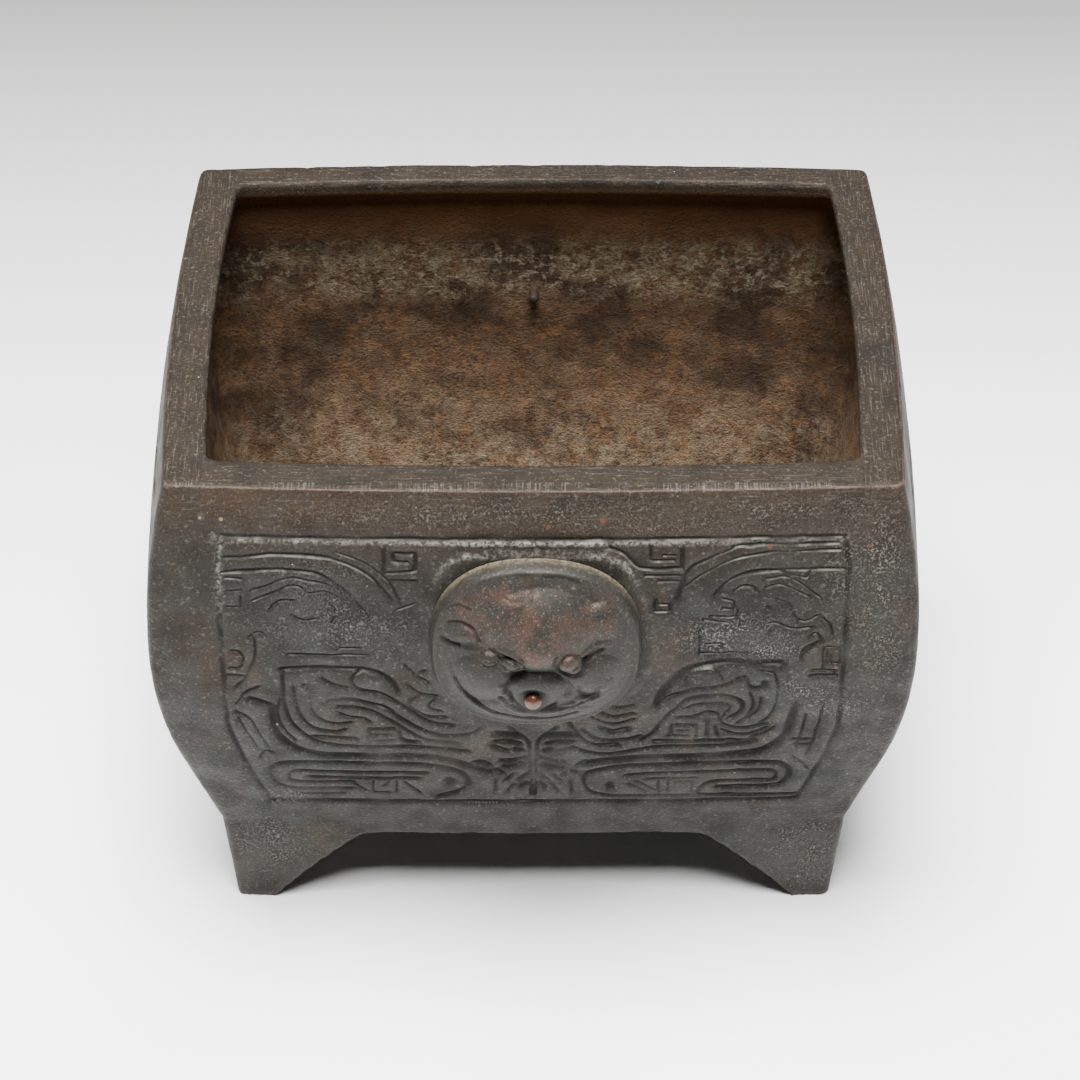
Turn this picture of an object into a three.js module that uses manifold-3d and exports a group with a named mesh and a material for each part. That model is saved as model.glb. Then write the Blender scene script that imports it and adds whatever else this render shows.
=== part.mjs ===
// Cast iron incense burner: a rectangular bowl with bulging walls on four corner feet.
// Each wall has a carved panel, and a cast beast mask is pinned to the front and to the back.
// Millimetres, +Z up. The front faces -Y, and the origin is on the ground under the centre.
import * as THREE from "three";
import Module from "manifold-3d";
import { mergeVertices } from "three/addons/utils/BufferGeometryUtils.js";

const wasm = await Module();
wasm.setup();

// Bowl, outside: drops are measured down from the rim
const RIM_WIDTH = 150;
const RIM_DEPTH = 117.4;
const HEIGHT = 122.5;
const SWELL = 4.9;
const SWELL_DROP = 40;
const FLANK_DROP = 75;
const FLANK_SLOPE = 0.294;
const BODY_DROP = 101.7;
const WALL_BOW = 2.0;
const CORNER_RADIUS = 1.6;

// Bowl, inside
const RIM_SIDE = 8.5;
const RIM_FRONT = 8.8;
const RIM_BACK = 6.7;
const LIP_HEIGHT = 3.5;
const LIP_UNDERCUT = 4;
const WALL = 5;
const FLOOR = 5.5;
const FLOOR_FILLET = 9;

// Feet
const FOOT_TOP = 35;
const FOOT_TOE = 8.2;
const FOOT_TAPER = 2.3;
const FOOT_HOLLOW = 1.2;
const FOOT_EDGE = 1.0;
const FOOT_ROOT = 4.125; // how far a foot reaches up into the bowl's floor

// Carved panels
const PANEL_TOP = 10.7;
const PANEL_BOTTOM = 88;
const PANEL_INSET = 10.5;
const PANEL_EDGE = 13.8;
const FRAME_WIDTH = 1.8;
const FRAME_DEPTH = 0.8;
const LINE_WIDTH = 1.4;
const LINE_DEPTH = 0.75;
const BROAD_WIDTH = 2.2;
const BROAD_DEPTH = 1.0;
const EYE_RADIUS = 1.7;
const EYE_RISE_SHARE = 3; // how far the eye stands off the middle of its loop, in hundredths

// Beast masks
const MASK_WIDTH = 42.5;
const MASK_HEIGHT = 40;
const MASK_DROP = 34.5;
const MASK_EDGE = 5.2;
const MASK_DOME = 3.4;
const MASK_SQUARENESS = 2.35; // 2 is an ellipse, more is squarer
const MASK_FLANGE_SHARE = 0.9; // the plain border begins at this share of the outline
const FLANGE_EDGE_SHARE = 0.96;
const SHOULDER_SHARE = 0.985;
const SHOULDER_LIFT_SHARE = 0.88;
const MASK_BACK_SHARE = 0.6;
const FORM_FALLOFF_RATE = 1.4;
const BACK_RELIEF_SHARE = 0.75;
const COLLAR_WIDTH = 3.4;
const COLLAR_HEIGHT = 0.9;
const COLLAR_GAP = 1.6;

// Pins and fits
const FRONT_PIN_DROP = 44.5;
const BACK_PIN_DROP = 35;
const PIN_DIAMETER = 2.2;
const PIN_HEAD = 3.8;
const PIN_TAIL = 3.5;
const PIN_SINK = 0.57; // how far the head's seat lies below the mask's face
const HEAD_RISE_SHARE = 0.25; // share of the head that is upright before it rounds
const TAIL_BEVEL_SHARES = [0.7, 0.4];
const CLEARANCE = 0.3;

// Fineness of the faceting
const LONG_STEPS = 4;
const SHORT_STEPS = 4;
const RISE_STEP = 14.6;
const CORNER_STEPS = 2;
const MASK_SPOKES = 34;
const MASK_RINGS = 8;
const PIN_SIDES = 12;
const LINE_STEP = 9;
const COLLAR_SIDES = 24;
const EYE_SIDES = 8;
const EYE_RINGS = 5;
const MITRE_LEAST_SHARE = 0.3;
const WELD = 1e-5;

const IRON = new THREE.MeshStandardMaterial({ color: 0x504c46, roughness: 0.62, metalness: 0.75 });
const MASK_IRON = new THREE.MeshStandardMaterial({ color: 0x575049, roughness: 0.55, metalness: 0.75 });
const PIN_IRON = new THREE.MeshStandardMaterial({ color: 0x6a3f2e, roughness: 0.4, metalness: 0.7 });

const { sqrt, cos, sin, abs, min, max, exp, PI } = Math;

// How far the wall stands out past the rim at a drop: a swell, then a straight flank
function swell(drop) {
  const below = drop - SWELL_DROP;
  if (below < 0) return SWELL * (1 - (below / SWELL_DROP) ** 2);
  const flank = FLANK_DROP - SWELL_DROP;
  const curve = FLANK_SLOPE / (2 * flank);
  if (below < flank) return SWELL - curve * below ** 2;
  return SWELL - curve * flank ** 2 - FLANK_SLOPE * (below - flank);
}

const halfWidth = (drop) => RIM_WIDTH / 2 + swell(drop);
const halfDepth = (drop) => RIM_DEPTH / 2 + swell(drop);

// Moves a point of a straight-sided rectangle out to the bowed plan of the walls
function bowed([x, y], halfX, halfY) {
  const alongX = max(0, 1 - (x / halfX) ** 2);
  const alongY = max(0, 1 - (y / halfY) ** 2);
  return [x + (x / halfX) * WALL_BOW * alongY, y + (y / halfY) * WALL_BOW * alongX];
}

// Plan of a rectangle with round corners and bowed sides, anticlockwise from above
function bowedPlan(halfX, halfY, radius, shiftY = 0) {
  const points = [];
  const sides = [[1, -1, SHORT_STEPS], [1, 1, LONG_STEPS], [-1, 1, SHORT_STEPS], [-1, -1, LONG_STEPS]];
  sides.forEach(([cornerX, cornerY, steps], k) => {
    const centre = [cornerX * (halfX - radius), cornerY * (halfY - radius)];
    for (let i = 0; i <= CORNER_STEPS; i++) {
      const angle = (k - 1 + i / CORNER_STEPS) * PI / 2;
      points.push([centre[0] + radius * cos(angle), centre[1] + radius * sin(angle)]);
    }
    const last = points[points.length - 1];
    const [nextX, nextY] = sides[(k + 1) % 4];
    const goal = k % 2 === 0
      ? [last[0], nextY * (halfY - radius)]
      : [nextX * (halfX - radius), last[1]];
    for (let i = 1; i < steps; i++) {
      const share = i / steps;
      points.push([last[0] + (goal[0] - last[0]) * share, last[1] + (goal[1] - last[1]) * share]);
    }
  });
  return points.map((point) => bowed(point, halfX, halfY)).map(([x, y]) => [x, y + shiftY]);
}

// Closed geometry from rings of equal count, each seen anticlockwise from the far end
function loft(rings) {
  const count = rings[0].length;
  const vertices = rings.flat();
  const faces = [];
  for (let r = 0; r + 1 < rings.length; r++) {
    for (let i = 0; i < count; i++) {
      const a = r * count + i;
      const b = r * count + (i + 1) % count;
      faces.push(a, b, b + count, a, b + count, a + count);
    }
  }
  for (const end of [0, rings.length - 1]) {
    const hub = new THREE.Vector3();
    rings[end].forEach((point) => hub.add(new THREE.Vector3(...point)));
    hub.divideScalar(count);
    vertices.push(hub.toArray());
    const centre = vertices.length - 1;
    for (let i = 0; i < count; i++) {
      const a = end * count + i;
      const b = end * count + (i + 1) % count;
      faces.push(...(end === 0 ? [centre, b, a] : [centre, a, b]));
    }
  }
  const geometry = new THREE.BufferGeometry();
  geometry.setAttribute("position", new THREE.BufferAttribute(new Float32Array(vertices.flat()), 3));
  geometry.setIndex(faces);
  return geometry;
}

function toSolid(geometry) {
  const bare = geometry.clone();
  bare.deleteAttribute("normal");
  bare.deleteAttribute("uv");
  const merged = mergeVertices(bare, WELD);
  const vertProperties = new Float32Array(merged.attributes.position.array);
  const triVerts = new Uint32Array(merged.index.array);
  return new wasm.Manifold(new wasm.Mesh({ numProp: 3, vertProperties, triVerts }));
}

function toMesh(name, solid, material) {
  const { numProp, vertProperties, triVerts } = solid.getMesh();
  const positions = new Float32Array(triVerts.length * 3);
  triVerts.forEach((vertex, i) => {
    for (let axis = 0; axis < 3; axis++) positions[i * 3 + axis] = vertProperties[vertex * numProp + axis];
  });
  const geometry = new THREE.BufferGeometry();
  geometry.setAttribute("position", new THREE.BufferAttribute(positions, 3));
  geometry.computeVertexNormals();
  const mesh = new THREE.Mesh(geometry, material);
  mesh.name = name;
  return mesh;
}

// The four walls: turn is the quarter turn from the front wall, half and reach give its plan
const WALLS = {
  front: { turn: 0, half: halfWidth, reach: halfDepth, rimHalf: RIM_WIDTH / 2 },
  right: { turn: 1, half: halfDepth, reach: halfWidth, rimHalf: RIM_DEPTH / 2 },
  back: { turn: 2, half: halfWidth, reach: halfDepth, rimHalf: RIM_WIDTH / 2 },
  left: { turn: 3, half: halfDepth, reach: halfWidth, rimHalf: RIM_DEPTH / 2 },
};

function turned(point, wall) {
  return point.applyAxisAngle(new THREE.Vector3(0, 0, 1), wall.turn * PI / 2);
}

// Point of a wall's outer face, across to the right as seen from outside and down from the rim
function wallPoint(wall, across, drop) {
  const bow = WALL_BOW * (1 - (across / wall.half(drop)) ** 2);
  return turned(new THREE.Vector3(across, -wall.reach(drop) - bow, HEIGHT - drop), wall);
}

function wallNormal(wall, across, drop) {
  const step = 0.5;
  const right = wallPoint(wall, across + step, drop).sub(wallPoint(wall, across - step, drop));
  const down = wallPoint(wall, across, drop + step).sub(wallPoint(wall, across, drop - step));
  return down.cross(right).normalize();
}

// Sweeps a section along a line drawn on a wall. The section is [aside, lift] from the wall's face
function sweepOnWall(wall, line, section, closed) {
  const count = line.length;
  const rings = line.map(([across, drop], i) => {
    const before = line[closed ? (i + count - 1) % count : max(i - 1, 0)];
    const after = line[closed ? (i + 1) % count : min(i + 1, count - 1)];
    const here = wallPoint(wall, across, drop);
    const out = wallNormal(wall, across, drop);
    const into = here.clone().sub(wallPoint(wall, ...before));
    const away = wallPoint(wall, ...after).sub(here);
    const along = into.clone().normalize().add(away.clone().normalize()).normalize();
    const aside = out.clone().cross(along).normalize();
    const bend = into.length() > 0 && away.length() > 0 ? into.normalize().dot(away.normalize()) : 1;
    const mitre = 1 / sqrt(max((1 + bend) / 2, MITRE_LEAST_SHARE));
    return section.map(([a, lift]) => here.clone().addScaledVector(aside, a * mitre)
      .addScaledVector(out, lift).toArray());
  });
  if (!closed) return toSolid(loft(rings));
  const halfway = count >> 1;
  const first = toSolid(loft(rings.slice(0, halfway + 1)));
  const second = toSolid(loft([...rings.slice(halfway), rings[0]]));
  return first.add(second);
}

// A V-shaped cut, which starts a little above the face so that it breaks through cleanly
function cutSection(width, depth) {
  const above = depth / 2;
  const half = (width / 2) * (depth + above) / depth;
  return [[-half, above], [0, -depth], [half, above]];
}

// Smooth line through a few chosen points, with a point about every LINE_STEP
function smooth(points) {
  if (points.length === 2) return points;
  const curve = new THREE.SplineCurve(points.map(([x, y]) => new THREE.Vector2(x, y)));
  const steps = max(points.length - 1, Math.ceil(curve.getLength() / LINE_STEP));
  return curve.getSpacedPoints(steps).map(({ x, y }) => [x, y]);
}

// Half of a panel's carving. Points are in hundredths of the panel's half width from its middle
// and of its height from its top. broad lines are the deep ones, plain lines show on every wall.
const CARVING = [
  { points: [[97, 5], [75, 5], [60, 6.5], [50, 12], [44, 21]], plain: true },
  { points: [[97, 10], [80, 9.5], [68, 11.5], [58, 18], [54, 24]] },
  { points: [[90, 17], [80, 13], [72, 15], [63, 16]] },
  { points: [[90, 28], [80, 27], [70, 25.5], [64, 27]] },
  { points: [[80, 41], [60, 40], [48, 44], [41, 55]], broad: true, plain: true },
  { points: [[43, 53], [56, 49], [68, 45], [75, 50]] },
  { points: [[66, 58], [58, 52], [47, 57], [36, 66], [27, 69], [17, 64]] },
  { points: [[60, 58], [52, 57], [43, 65], [32, 71], [21, 71], [15, 66]] },
  { points: [[78, 44], [77, 59], [70, 65], [60, 60]] },
  { points: [[80, 52], [79, 61], [72, 70], [53, 73], [27, 75], [15, 72]] },
  { points: [[86, 55], [83, 67], [72, 76], [40, 78], [22, 82], [15, 88]], broad: true, plain: true },
  { points: [[3, 70], [5, 76], [11, 83]] },
  { points: [[5, 66], [13, 66]], broad: true },
  { points: [[96, 59], [91, 65], [88, 76]] },
];

// Long flat loop of the lower edge, open towards the middle
const LOOP = { near: 21, far: 85.5, top: 81.5, bottom: 94, back: 46.8 };
const LOOP_INSET = 4.2;
const LOOP_END_STEPS = 4;

function loopLine(inset) {
  const { near, far, top, bottom, back } = LOOP;
  const middle = (top + bottom) / 2;
  const rise = (bottom - top) / 2 - inset;
  const line = [[near + inset, top + inset]];
  for (let i = 0; i <= LOOP_END_STEPS; i++) {
    const angle = -PI / 2 + i * PI / LOOP_END_STEPS;
    line.push([far - inset - rise + rise * cos(angle), middle + rise * sin(angle)]);
  }
  line.push([back, bottom - inset]);
  return line;
}

// Square spiral beside the mask's top corner
const MEANDER = [[47, 3.5], [47, 9.5], [37, 9.5], [37, 4.5], [44, 4.5], [44, 7]];

function panelPoint(wall, [across, down]) {
  const half = wall.rimHalf - PANEL_INSET;
  return [half * across / 100, PANEL_TOP + (PANEL_BOTTOM - PANEL_TOP) * down / 100];
}

// The panel's outline: upright sides that lean in with the flank
function frameLine(wall) {
  const steps = Math.ceil((PANEL_BOTTOM - PANEL_TOP) / RISE_STEP);
  const drops = Array.from({ length: steps + 1 }, (_, i) => PANEL_TOP + (PANEL_BOTTOM - PANEL_TOP) * i / steps);
  const edge = (drop) => min(wall.rimHalf - PANEL_INSET, wall.half(drop) - PANEL_EDGE);
  const right = drops.map((drop) => [edge(drop), drop]);
  const left = drops.map((drop) => [-edge(drop), drop]).reverse();
  const bottom = edge(PANEL_BOTTOM);
  const top = edge(PANEL_TOP);
  const shares = [0.5, 0, -0.5];
  const under = shares.map((share) => [bottom * share, PANEL_BOTTOM]);
  const over = shares.map((share) => [-top * share, PANEL_TOP]);
  return [...right, ...under, ...left, ...over];
}

// Every cut of one wall's panel; plainOnly keeps the lines that the plainer walls have
function panelCuts(wall, plainOnly) {
  const cuts = [sweepOnWall(wall, frameLine(wall), cutSection(FRAME_WIDTH, FRAME_DEPTH), true)];
  const line = cutSection(LINE_WIDTH, LINE_DEPTH);
  const broad = cutSection(BROAD_WIDTH, BROAD_DEPTH);
  for (const side of [-1, 1]) {
    const place = (points) => points.map((point) => {
      const [across, drop] = panelPoint(wall, point);
      return [side * across, drop];
    });
    const shown = plainOnly ? CARVING.filter(({ plain }) => plain) : CARVING;
    for (const stroke of shown) {
      cuts.push(sweepOnWall(wall, smooth(place(stroke.points)), stroke.broad ? broad : line, false));
    }
    cuts.push(sweepOnWall(wall, place(loopLine(0)), broad, false));
    if (!plainOnly) {
      cuts.push(sweepOnWall(wall, place(loopLine(LOOP_INSET)), line, false));
      cuts.push(sweepOnWall(wall, place(MEANDER), line, false));
      cuts.push(eyePit(wall, ...place([[LOOP.near + LOOP_INSET, (LOOP.top + LOOP.bottom) / 2 + EYE_RISE_SHARE]])[0]));
    }
  }
  return cuts;
}

// A small round pit
function eyePit(wall, across, drop) {
  const pit = new THREE.SphereGeometry(EYE_RADIUS, EYE_SIDES, EYE_RINGS);
  pit.translate(...wallPoint(wall, across, drop).toArray());
  return toSolid(pit);
}

// Outline of a mask, grown outward by margin: a circle drawn a little towards a square
function maskOutline(angle, margin) {
  const reach = (abs(cos(angle)) ** MASK_SQUARENESS + abs(sin(angle)) ** MASK_SQUARENESS) ** (-1 / MASK_SQUARENESS);
  return [(MASK_WIDTH / 2 + margin) * reach * cos(angle), (MASK_HEIGHT / 2 + margin) * reach * sin(angle)];
}

// Raised moulding of the body round a mask
function collar(wall) {
  const line = [];
  for (let i = 0; i < COLLAR_SIDES; i++) {
    const [across, up] = maskOutline(2 * PI * i / COLLAR_SIDES, COLLAR_GAP + COLLAR_WIDTH / 2);
    line.push([across, MASK_DROP - up]);
  }
  const foot = COLLAR_WIDTH / 2;
  const crown = COLLAR_WIDTH / 4;
  const section = [[-foot, -COLLAR_HEIGHT], [foot, -COLLAR_HEIGHT], [crown, COLLAR_HEIGHT], [-crown, COLLAR_HEIGHT]];
  return sweepOnWall(wall, line, section, true);
}

function bowlOutside() {
  const steps = Math.ceil(BODY_DROP / RISE_STEP);
  const drops = Array.from({ length: steps + 1 }, (_, i) => BODY_DROP * i / steps);
  const rings = drops.map((drop) => bowedPlan(halfWidth(drop), halfDepth(drop), CORNER_RADIUS)
    .map(([x, y]) => [x, y, HEIGHT - drop]));
  return toSolid(loft(rings.reverse()));
}

function bowlInside() {
  const floorDrop = BODY_DROP - FLOOR;
  const lip = { x: RIM_WIDTH / 2 - RIM_SIDE, y: RIM_DEPTH / 2 - (RIM_FRONT + RIM_BACK) / 2 };
  const lipShift = (RIM_FRONT - RIM_BACK) / 2;
  const ring = (halfX, halfY, shift, drop) => bowedPlan(halfX, halfY, CORNER_RADIUS, shift)
    .map(([x, y]) => [x, y, HEIGHT - drop]);
  const above = 2;
  const rings = [ring(lip.x, lip.y, lipShift, -above), ring(lip.x, lip.y, lipShift, LIP_HEIGHT)];
  const wallTop = LIP_HEIGHT + LIP_UNDERCUT;
  const filletTop = floorDrop - FLOOR_FILLET;
  const wallSteps = 5;
  for (let i = 0; i <= wallSteps; i++) {
    const drop = wallTop + (filletTop - wallTop) * i / wallSteps;
    rings.push(ring(halfWidth(drop) - WALL, halfDepth(drop) - WALL, 0, drop));
  }
  const filletSteps = 3;
  for (let i = 1; i <= filletSteps; i++) {
    const angle = (PI / 2) * i / filletSteps;
    const drop = filletTop + FLOOR_FILLET * sin(angle);
    const pull = WALL + FLOOR_FILLET * (1 - cos(angle));
    rings.push(ring(halfWidth(drop) - pull, halfDepth(drop) - pull, 0, drop));
  }
  return toSolid(loft(rings.reverse()));
}

// One tapering foot under a corner, flush with the walls above it
function foot(sideX, sideY) {
  const topDrop = BODY_DROP - FOOT_ROOT;
  const levels = 3;
  const rings = [];
  for (let i = 0; i <= levels; i++) {
    const share = i / levels;
    const drop = topDrop + (HEIGHT - topDrop) * share;
    const outX = halfWidth(topDrop) - FOOT_TAPER * share;
    const outY = halfDepth(topDrop) - FOOT_TAPER * share;
    const size = FOOT_TOP + (FOOT_TOE - FOOT_TOP) * share - FOOT_HOLLOW * 4 * share * (1 - share);
    const corners = [
      [outX - size + FOOT_EDGE, outY - size], [outX - FOOT_EDGE, outY - size], [outX, outY - size + FOOT_EDGE],
      [outX, outY - CORNER_RADIUS], [outX - CORNER_RADIUS, outY],
      [outX - size + FOOT_EDGE, outY], [outX - size, outY - FOOT_EDGE], [outX - size, outY - size + FOOT_EDGE],
    ];
    rings.push(corners.map((point) => bowed(point, outX, outY))
      .map(([x, y]) => [sideX * x, sideY * y, HEIGHT - drop]));
  }
  if (sideX * sideY > 0) rings.reverse();
  return toSolid(loft(rings));
}

// What is mounted on a wall: where its pin goes through, and how strongly the face is modelled
const MOUNTED = {
  front: { wall: WALLS.front, pinDrop: FRONT_PIN_DROP, relief: 1 },
  back: { wall: WALLS.back, pinDrop: BACK_PIN_DROP, relief: BACK_RELIEF_SHARE },
};

// Forms of the beast's face: [across, up, half width, half height, lift] from the mask's middle,
// in hundredths of the mask's half height, with the lift in hundredths of the dome's
const FACE = [
  { form: "forehead", at: [4, 32], size: [46, 36], lift: 62 },
  { form: "muzzle", at: [8, -18], size: [26, 22], lift: 50 },
  { form: "left cheek", at: [-44, -16], size: [24, 24], lift: 34 },
  { form: "right cheek", at: [56, -18], size: [24, 22], lift: 34 },
  { form: "left eye", at: [-20, 10], size: [12, 9], lift: 40 },
  { form: "right eye", at: [37, 7], size: [12, 12], lift: 52 },
  { form: "left ear", at: [-58, 42], size: [15, 24], lift: 40 },
  { form: "right ear", at: [66, 44], size: [20, 14], lift: 40 },
  { form: "left whisker curl", at: [-74, 8], size: [18, 10], lift: 36 },
  { form: "right whisker curl", at: [76, -8], size: [14, 12], lift: 30 },
  { form: "crown", at: [-6, 70], size: [34, 12], lift: 26 },
  { form: "mouth", at: [0, -50], size: [34, 7], lift: -40 },
  { form: "chin", at: [2, -64], size: [36, 8], lift: 26 },
];

// Lift of a mask's front above the wall at a place given from its middle
function maskLift(across, up, relief) {
  const x = abs(across / (MASK_WIDTH / 2)) ** MASK_SQUARENESS;
  const y = abs(up / (MASK_HEIGHT / 2)) ** MASK_SQUARENESS;
  const inner = min((x + y) ** (1 / MASK_SQUARENESS) / MASK_FLANGE_SHARE, 1);
  const fade = 1 - inner ** 4;
  const share = MASK_HEIGHT / 200;
  let lift = MASK_EDGE + MASK_DOME * (1 - inner ** 2);
  for (const { at, size, lift: height } of FACE) {
    const away = ((across / share - at[0]) / size[0]) ** 2 + ((up / share - at[1]) / size[1]) ** 2;
    lift += relief * fade * MASK_DOME * (height / 100) * exp(-away * FORM_FALLOFF_RATE);
  }
  return lift;
}

// A seat cut flat into the mask for the pin's head, a little below the face around it
function seatLift({ pinDrop, relief }) {
  return maskLift(0, MASK_DROP - pinDrop, relief) - PIN_SINK;
}

// The outer face of a wall at a pin, from the middle of the bowl
const outerReach = (drop) => halfDepth(drop) + WALL_BOW;

// A round bar through a wall, between two distances from the middle of the bowl
function bar({ wall, pinDrop }, radius, near, far) {
  const geometry = new THREE.CylinderGeometry(radius, radius, far - near, PIN_SIDES);
  geometry.translate(0, -(near + far) / 2, HEIGHT - pinDrop);
  geometry.rotateZ(wall.turn * PI / 2);
  return toSolid(geometry);
}

function pinHole(place) {
  const outer = outerReach(place.pinDrop);
  return bar(place, PIN_DIAMETER / 2 + CLEARANCE, outer - WALL * 2, outer + MASK_EDGE + MASK_DOME * 3);
}

function mask(place) {
  const { wall, relief, pinDrop } = place;
  const ring = (unit, lift) => Array.from({ length: MASK_SPOKES }, (_, i) => {
    const [across, up] = maskOutline(2 * PI * i / MASK_SPOKES, 0).map((v) => v * unit);
    const height = lift ?? maskLift(across, up, relief);
    const out = wallNormal(wall, across, MASK_DROP - up);
    return wallPoint(wall, across, MASK_DROP - up).addScaledVector(out, height).toArray();
  });
  const rings = [
    ring(MASK_BACK_SHARE, CLEARANCE), ring(1, CLEARANCE),
    ring(SHOULDER_SHARE, MASK_EDGE * SHOULDER_LIFT_SHARE), ring(FLANGE_EDGE_SHARE),
  ];
  for (let i = 0; i < MASK_RINGS; i++) rings.push(ring(MASK_FLANGE_SHARE * (1 - i / MASK_RINGS)));
  const seat = outerReach(pinDrop) + seatLift(place);
  const counterbore = bar(place, PIN_HEAD / 2 + CLEARANCE, seat, seat + MASK_DOME * 2);
  return toSolid(loft(rings)).subtract(counterbore).subtract(pinHole(place));
}

// Rivet: a round head on the mask, a shank through both, and a tail that stands inside the bowl
function pin(place) {
  const outer = outerReach(place.pinDrop);
  const headFoot = outer + seatLift(place) + CLEARANCE;
  const tail = outer - WALL - PIN_TAIL;
  const headRadius = PIN_HEAD / 2;
  const radius = PIN_DIAMETER / 2;
  const [blunt, bevel] = TAIL_BEVEL_SHARES;
  const profile = [[0, tail], [radius * blunt, tail], [radius, tail + radius * bevel], [radius, headFoot]];
  const domeSteps = 4;
  for (let i = 0; i <= domeSteps; i++) {
    const angle = (PI / 2) * i / domeSteps;
    const rise = headRadius * (HEAD_RISE_SHARE + (1 - HEAD_RISE_SHARE) * sin(angle));
    profile.push([i === domeSteps ? 0 : headRadius * cos(angle), headFoot + rise]);
  }
  const geometry = new THREE.LatheGeometry(profile.map(([r, y]) => new THREE.Vector2(r, y)), PIN_SIDES);
  geometry.rotateZ(PI);
  geometry.translate(0, 0, HEIGHT - place.pinDrop);
  geometry.rotateZ(place.wall.turn * PI / 2);
  return toSolid(geometry);
}

function body() {
  let solid = bowlOutside().subtract(bowlInside());
  for (const sideX of [-1, 1]) {
    for (const sideY of [-1, 1]) solid = solid.add(foot(sideX, sideY));
  }
  for (const name of Object.keys(WALLS)) {
    for (const cut of panelCuts(WALLS[name], name !== "front")) solid = solid.subtract(cut);
  }
  for (const place of Object.values(MOUNTED)) {
    solid = solid.add(collar(place.wall)).subtract(pinHole(place));
  }
  return solid;
}

const burner = new THREE.Group();
burner.add(toMesh("body", body(), IRON));
for (const name of Object.keys(MOUNTED)) {
  burner.add(toMesh(`${name}_mask`, mask(MOUNTED[name]), MASK_IRON));
  burner.add(toMesh(`${name}_pin`, pin(MOUNTED[name]), PIN_IRON));
}

export default burner;
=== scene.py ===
"""Dresses the cast iron incense burner: carved walls, rusted bowl, beast masks and pins."""

import math

import bmesh
import bpy
import numpy as np
from bpy.props import FloatProperty, FloatVectorProperty, PointerProperty
from bpy.types import Operator, Panel, PropertyGroup
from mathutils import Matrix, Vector
from mathutils.geometry import delaunay_2d_cdt


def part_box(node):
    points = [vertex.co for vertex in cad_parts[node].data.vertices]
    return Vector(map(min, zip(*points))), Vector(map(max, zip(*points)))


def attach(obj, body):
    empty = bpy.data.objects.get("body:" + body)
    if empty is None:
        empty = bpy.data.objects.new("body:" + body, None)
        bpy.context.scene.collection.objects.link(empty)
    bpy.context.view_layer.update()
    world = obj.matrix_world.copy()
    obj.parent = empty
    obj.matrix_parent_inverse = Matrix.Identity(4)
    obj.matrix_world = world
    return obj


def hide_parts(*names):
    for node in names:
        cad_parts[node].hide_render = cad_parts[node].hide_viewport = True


bl_info = {
    "name": "Cast iron incense burner",
    "version": (1, 0, 0),
    "blender": (4, 5, 0),
    "location": "View3D > Sidebar > Burner",
    "description": "Builds the burner's carved body, masks and pins around its frame",
    "category": "Add Mesh",
}

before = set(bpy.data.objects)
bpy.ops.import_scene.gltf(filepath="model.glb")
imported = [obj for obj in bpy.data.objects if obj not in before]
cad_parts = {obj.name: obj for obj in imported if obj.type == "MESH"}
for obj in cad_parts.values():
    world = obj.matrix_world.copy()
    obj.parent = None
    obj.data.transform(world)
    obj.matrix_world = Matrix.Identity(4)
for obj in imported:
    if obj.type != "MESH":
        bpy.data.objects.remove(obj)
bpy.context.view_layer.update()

MM = 0.001
BODY_LOW, BODY_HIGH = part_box("body")
MASK_LOW, MASK_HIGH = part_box("front_mask")


def size(name, description, millimetres):
    return FloatProperty(name=name, description=description, default=millimetres * MM, unit="LENGTH")


def colour(name, description, red, green, blue):
    return FloatVectorProperty(
        name=name, description=description, default=(red, green, blue), size=3,
        subtype="COLOR", min=0.0, max=1.0,
    )


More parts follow.
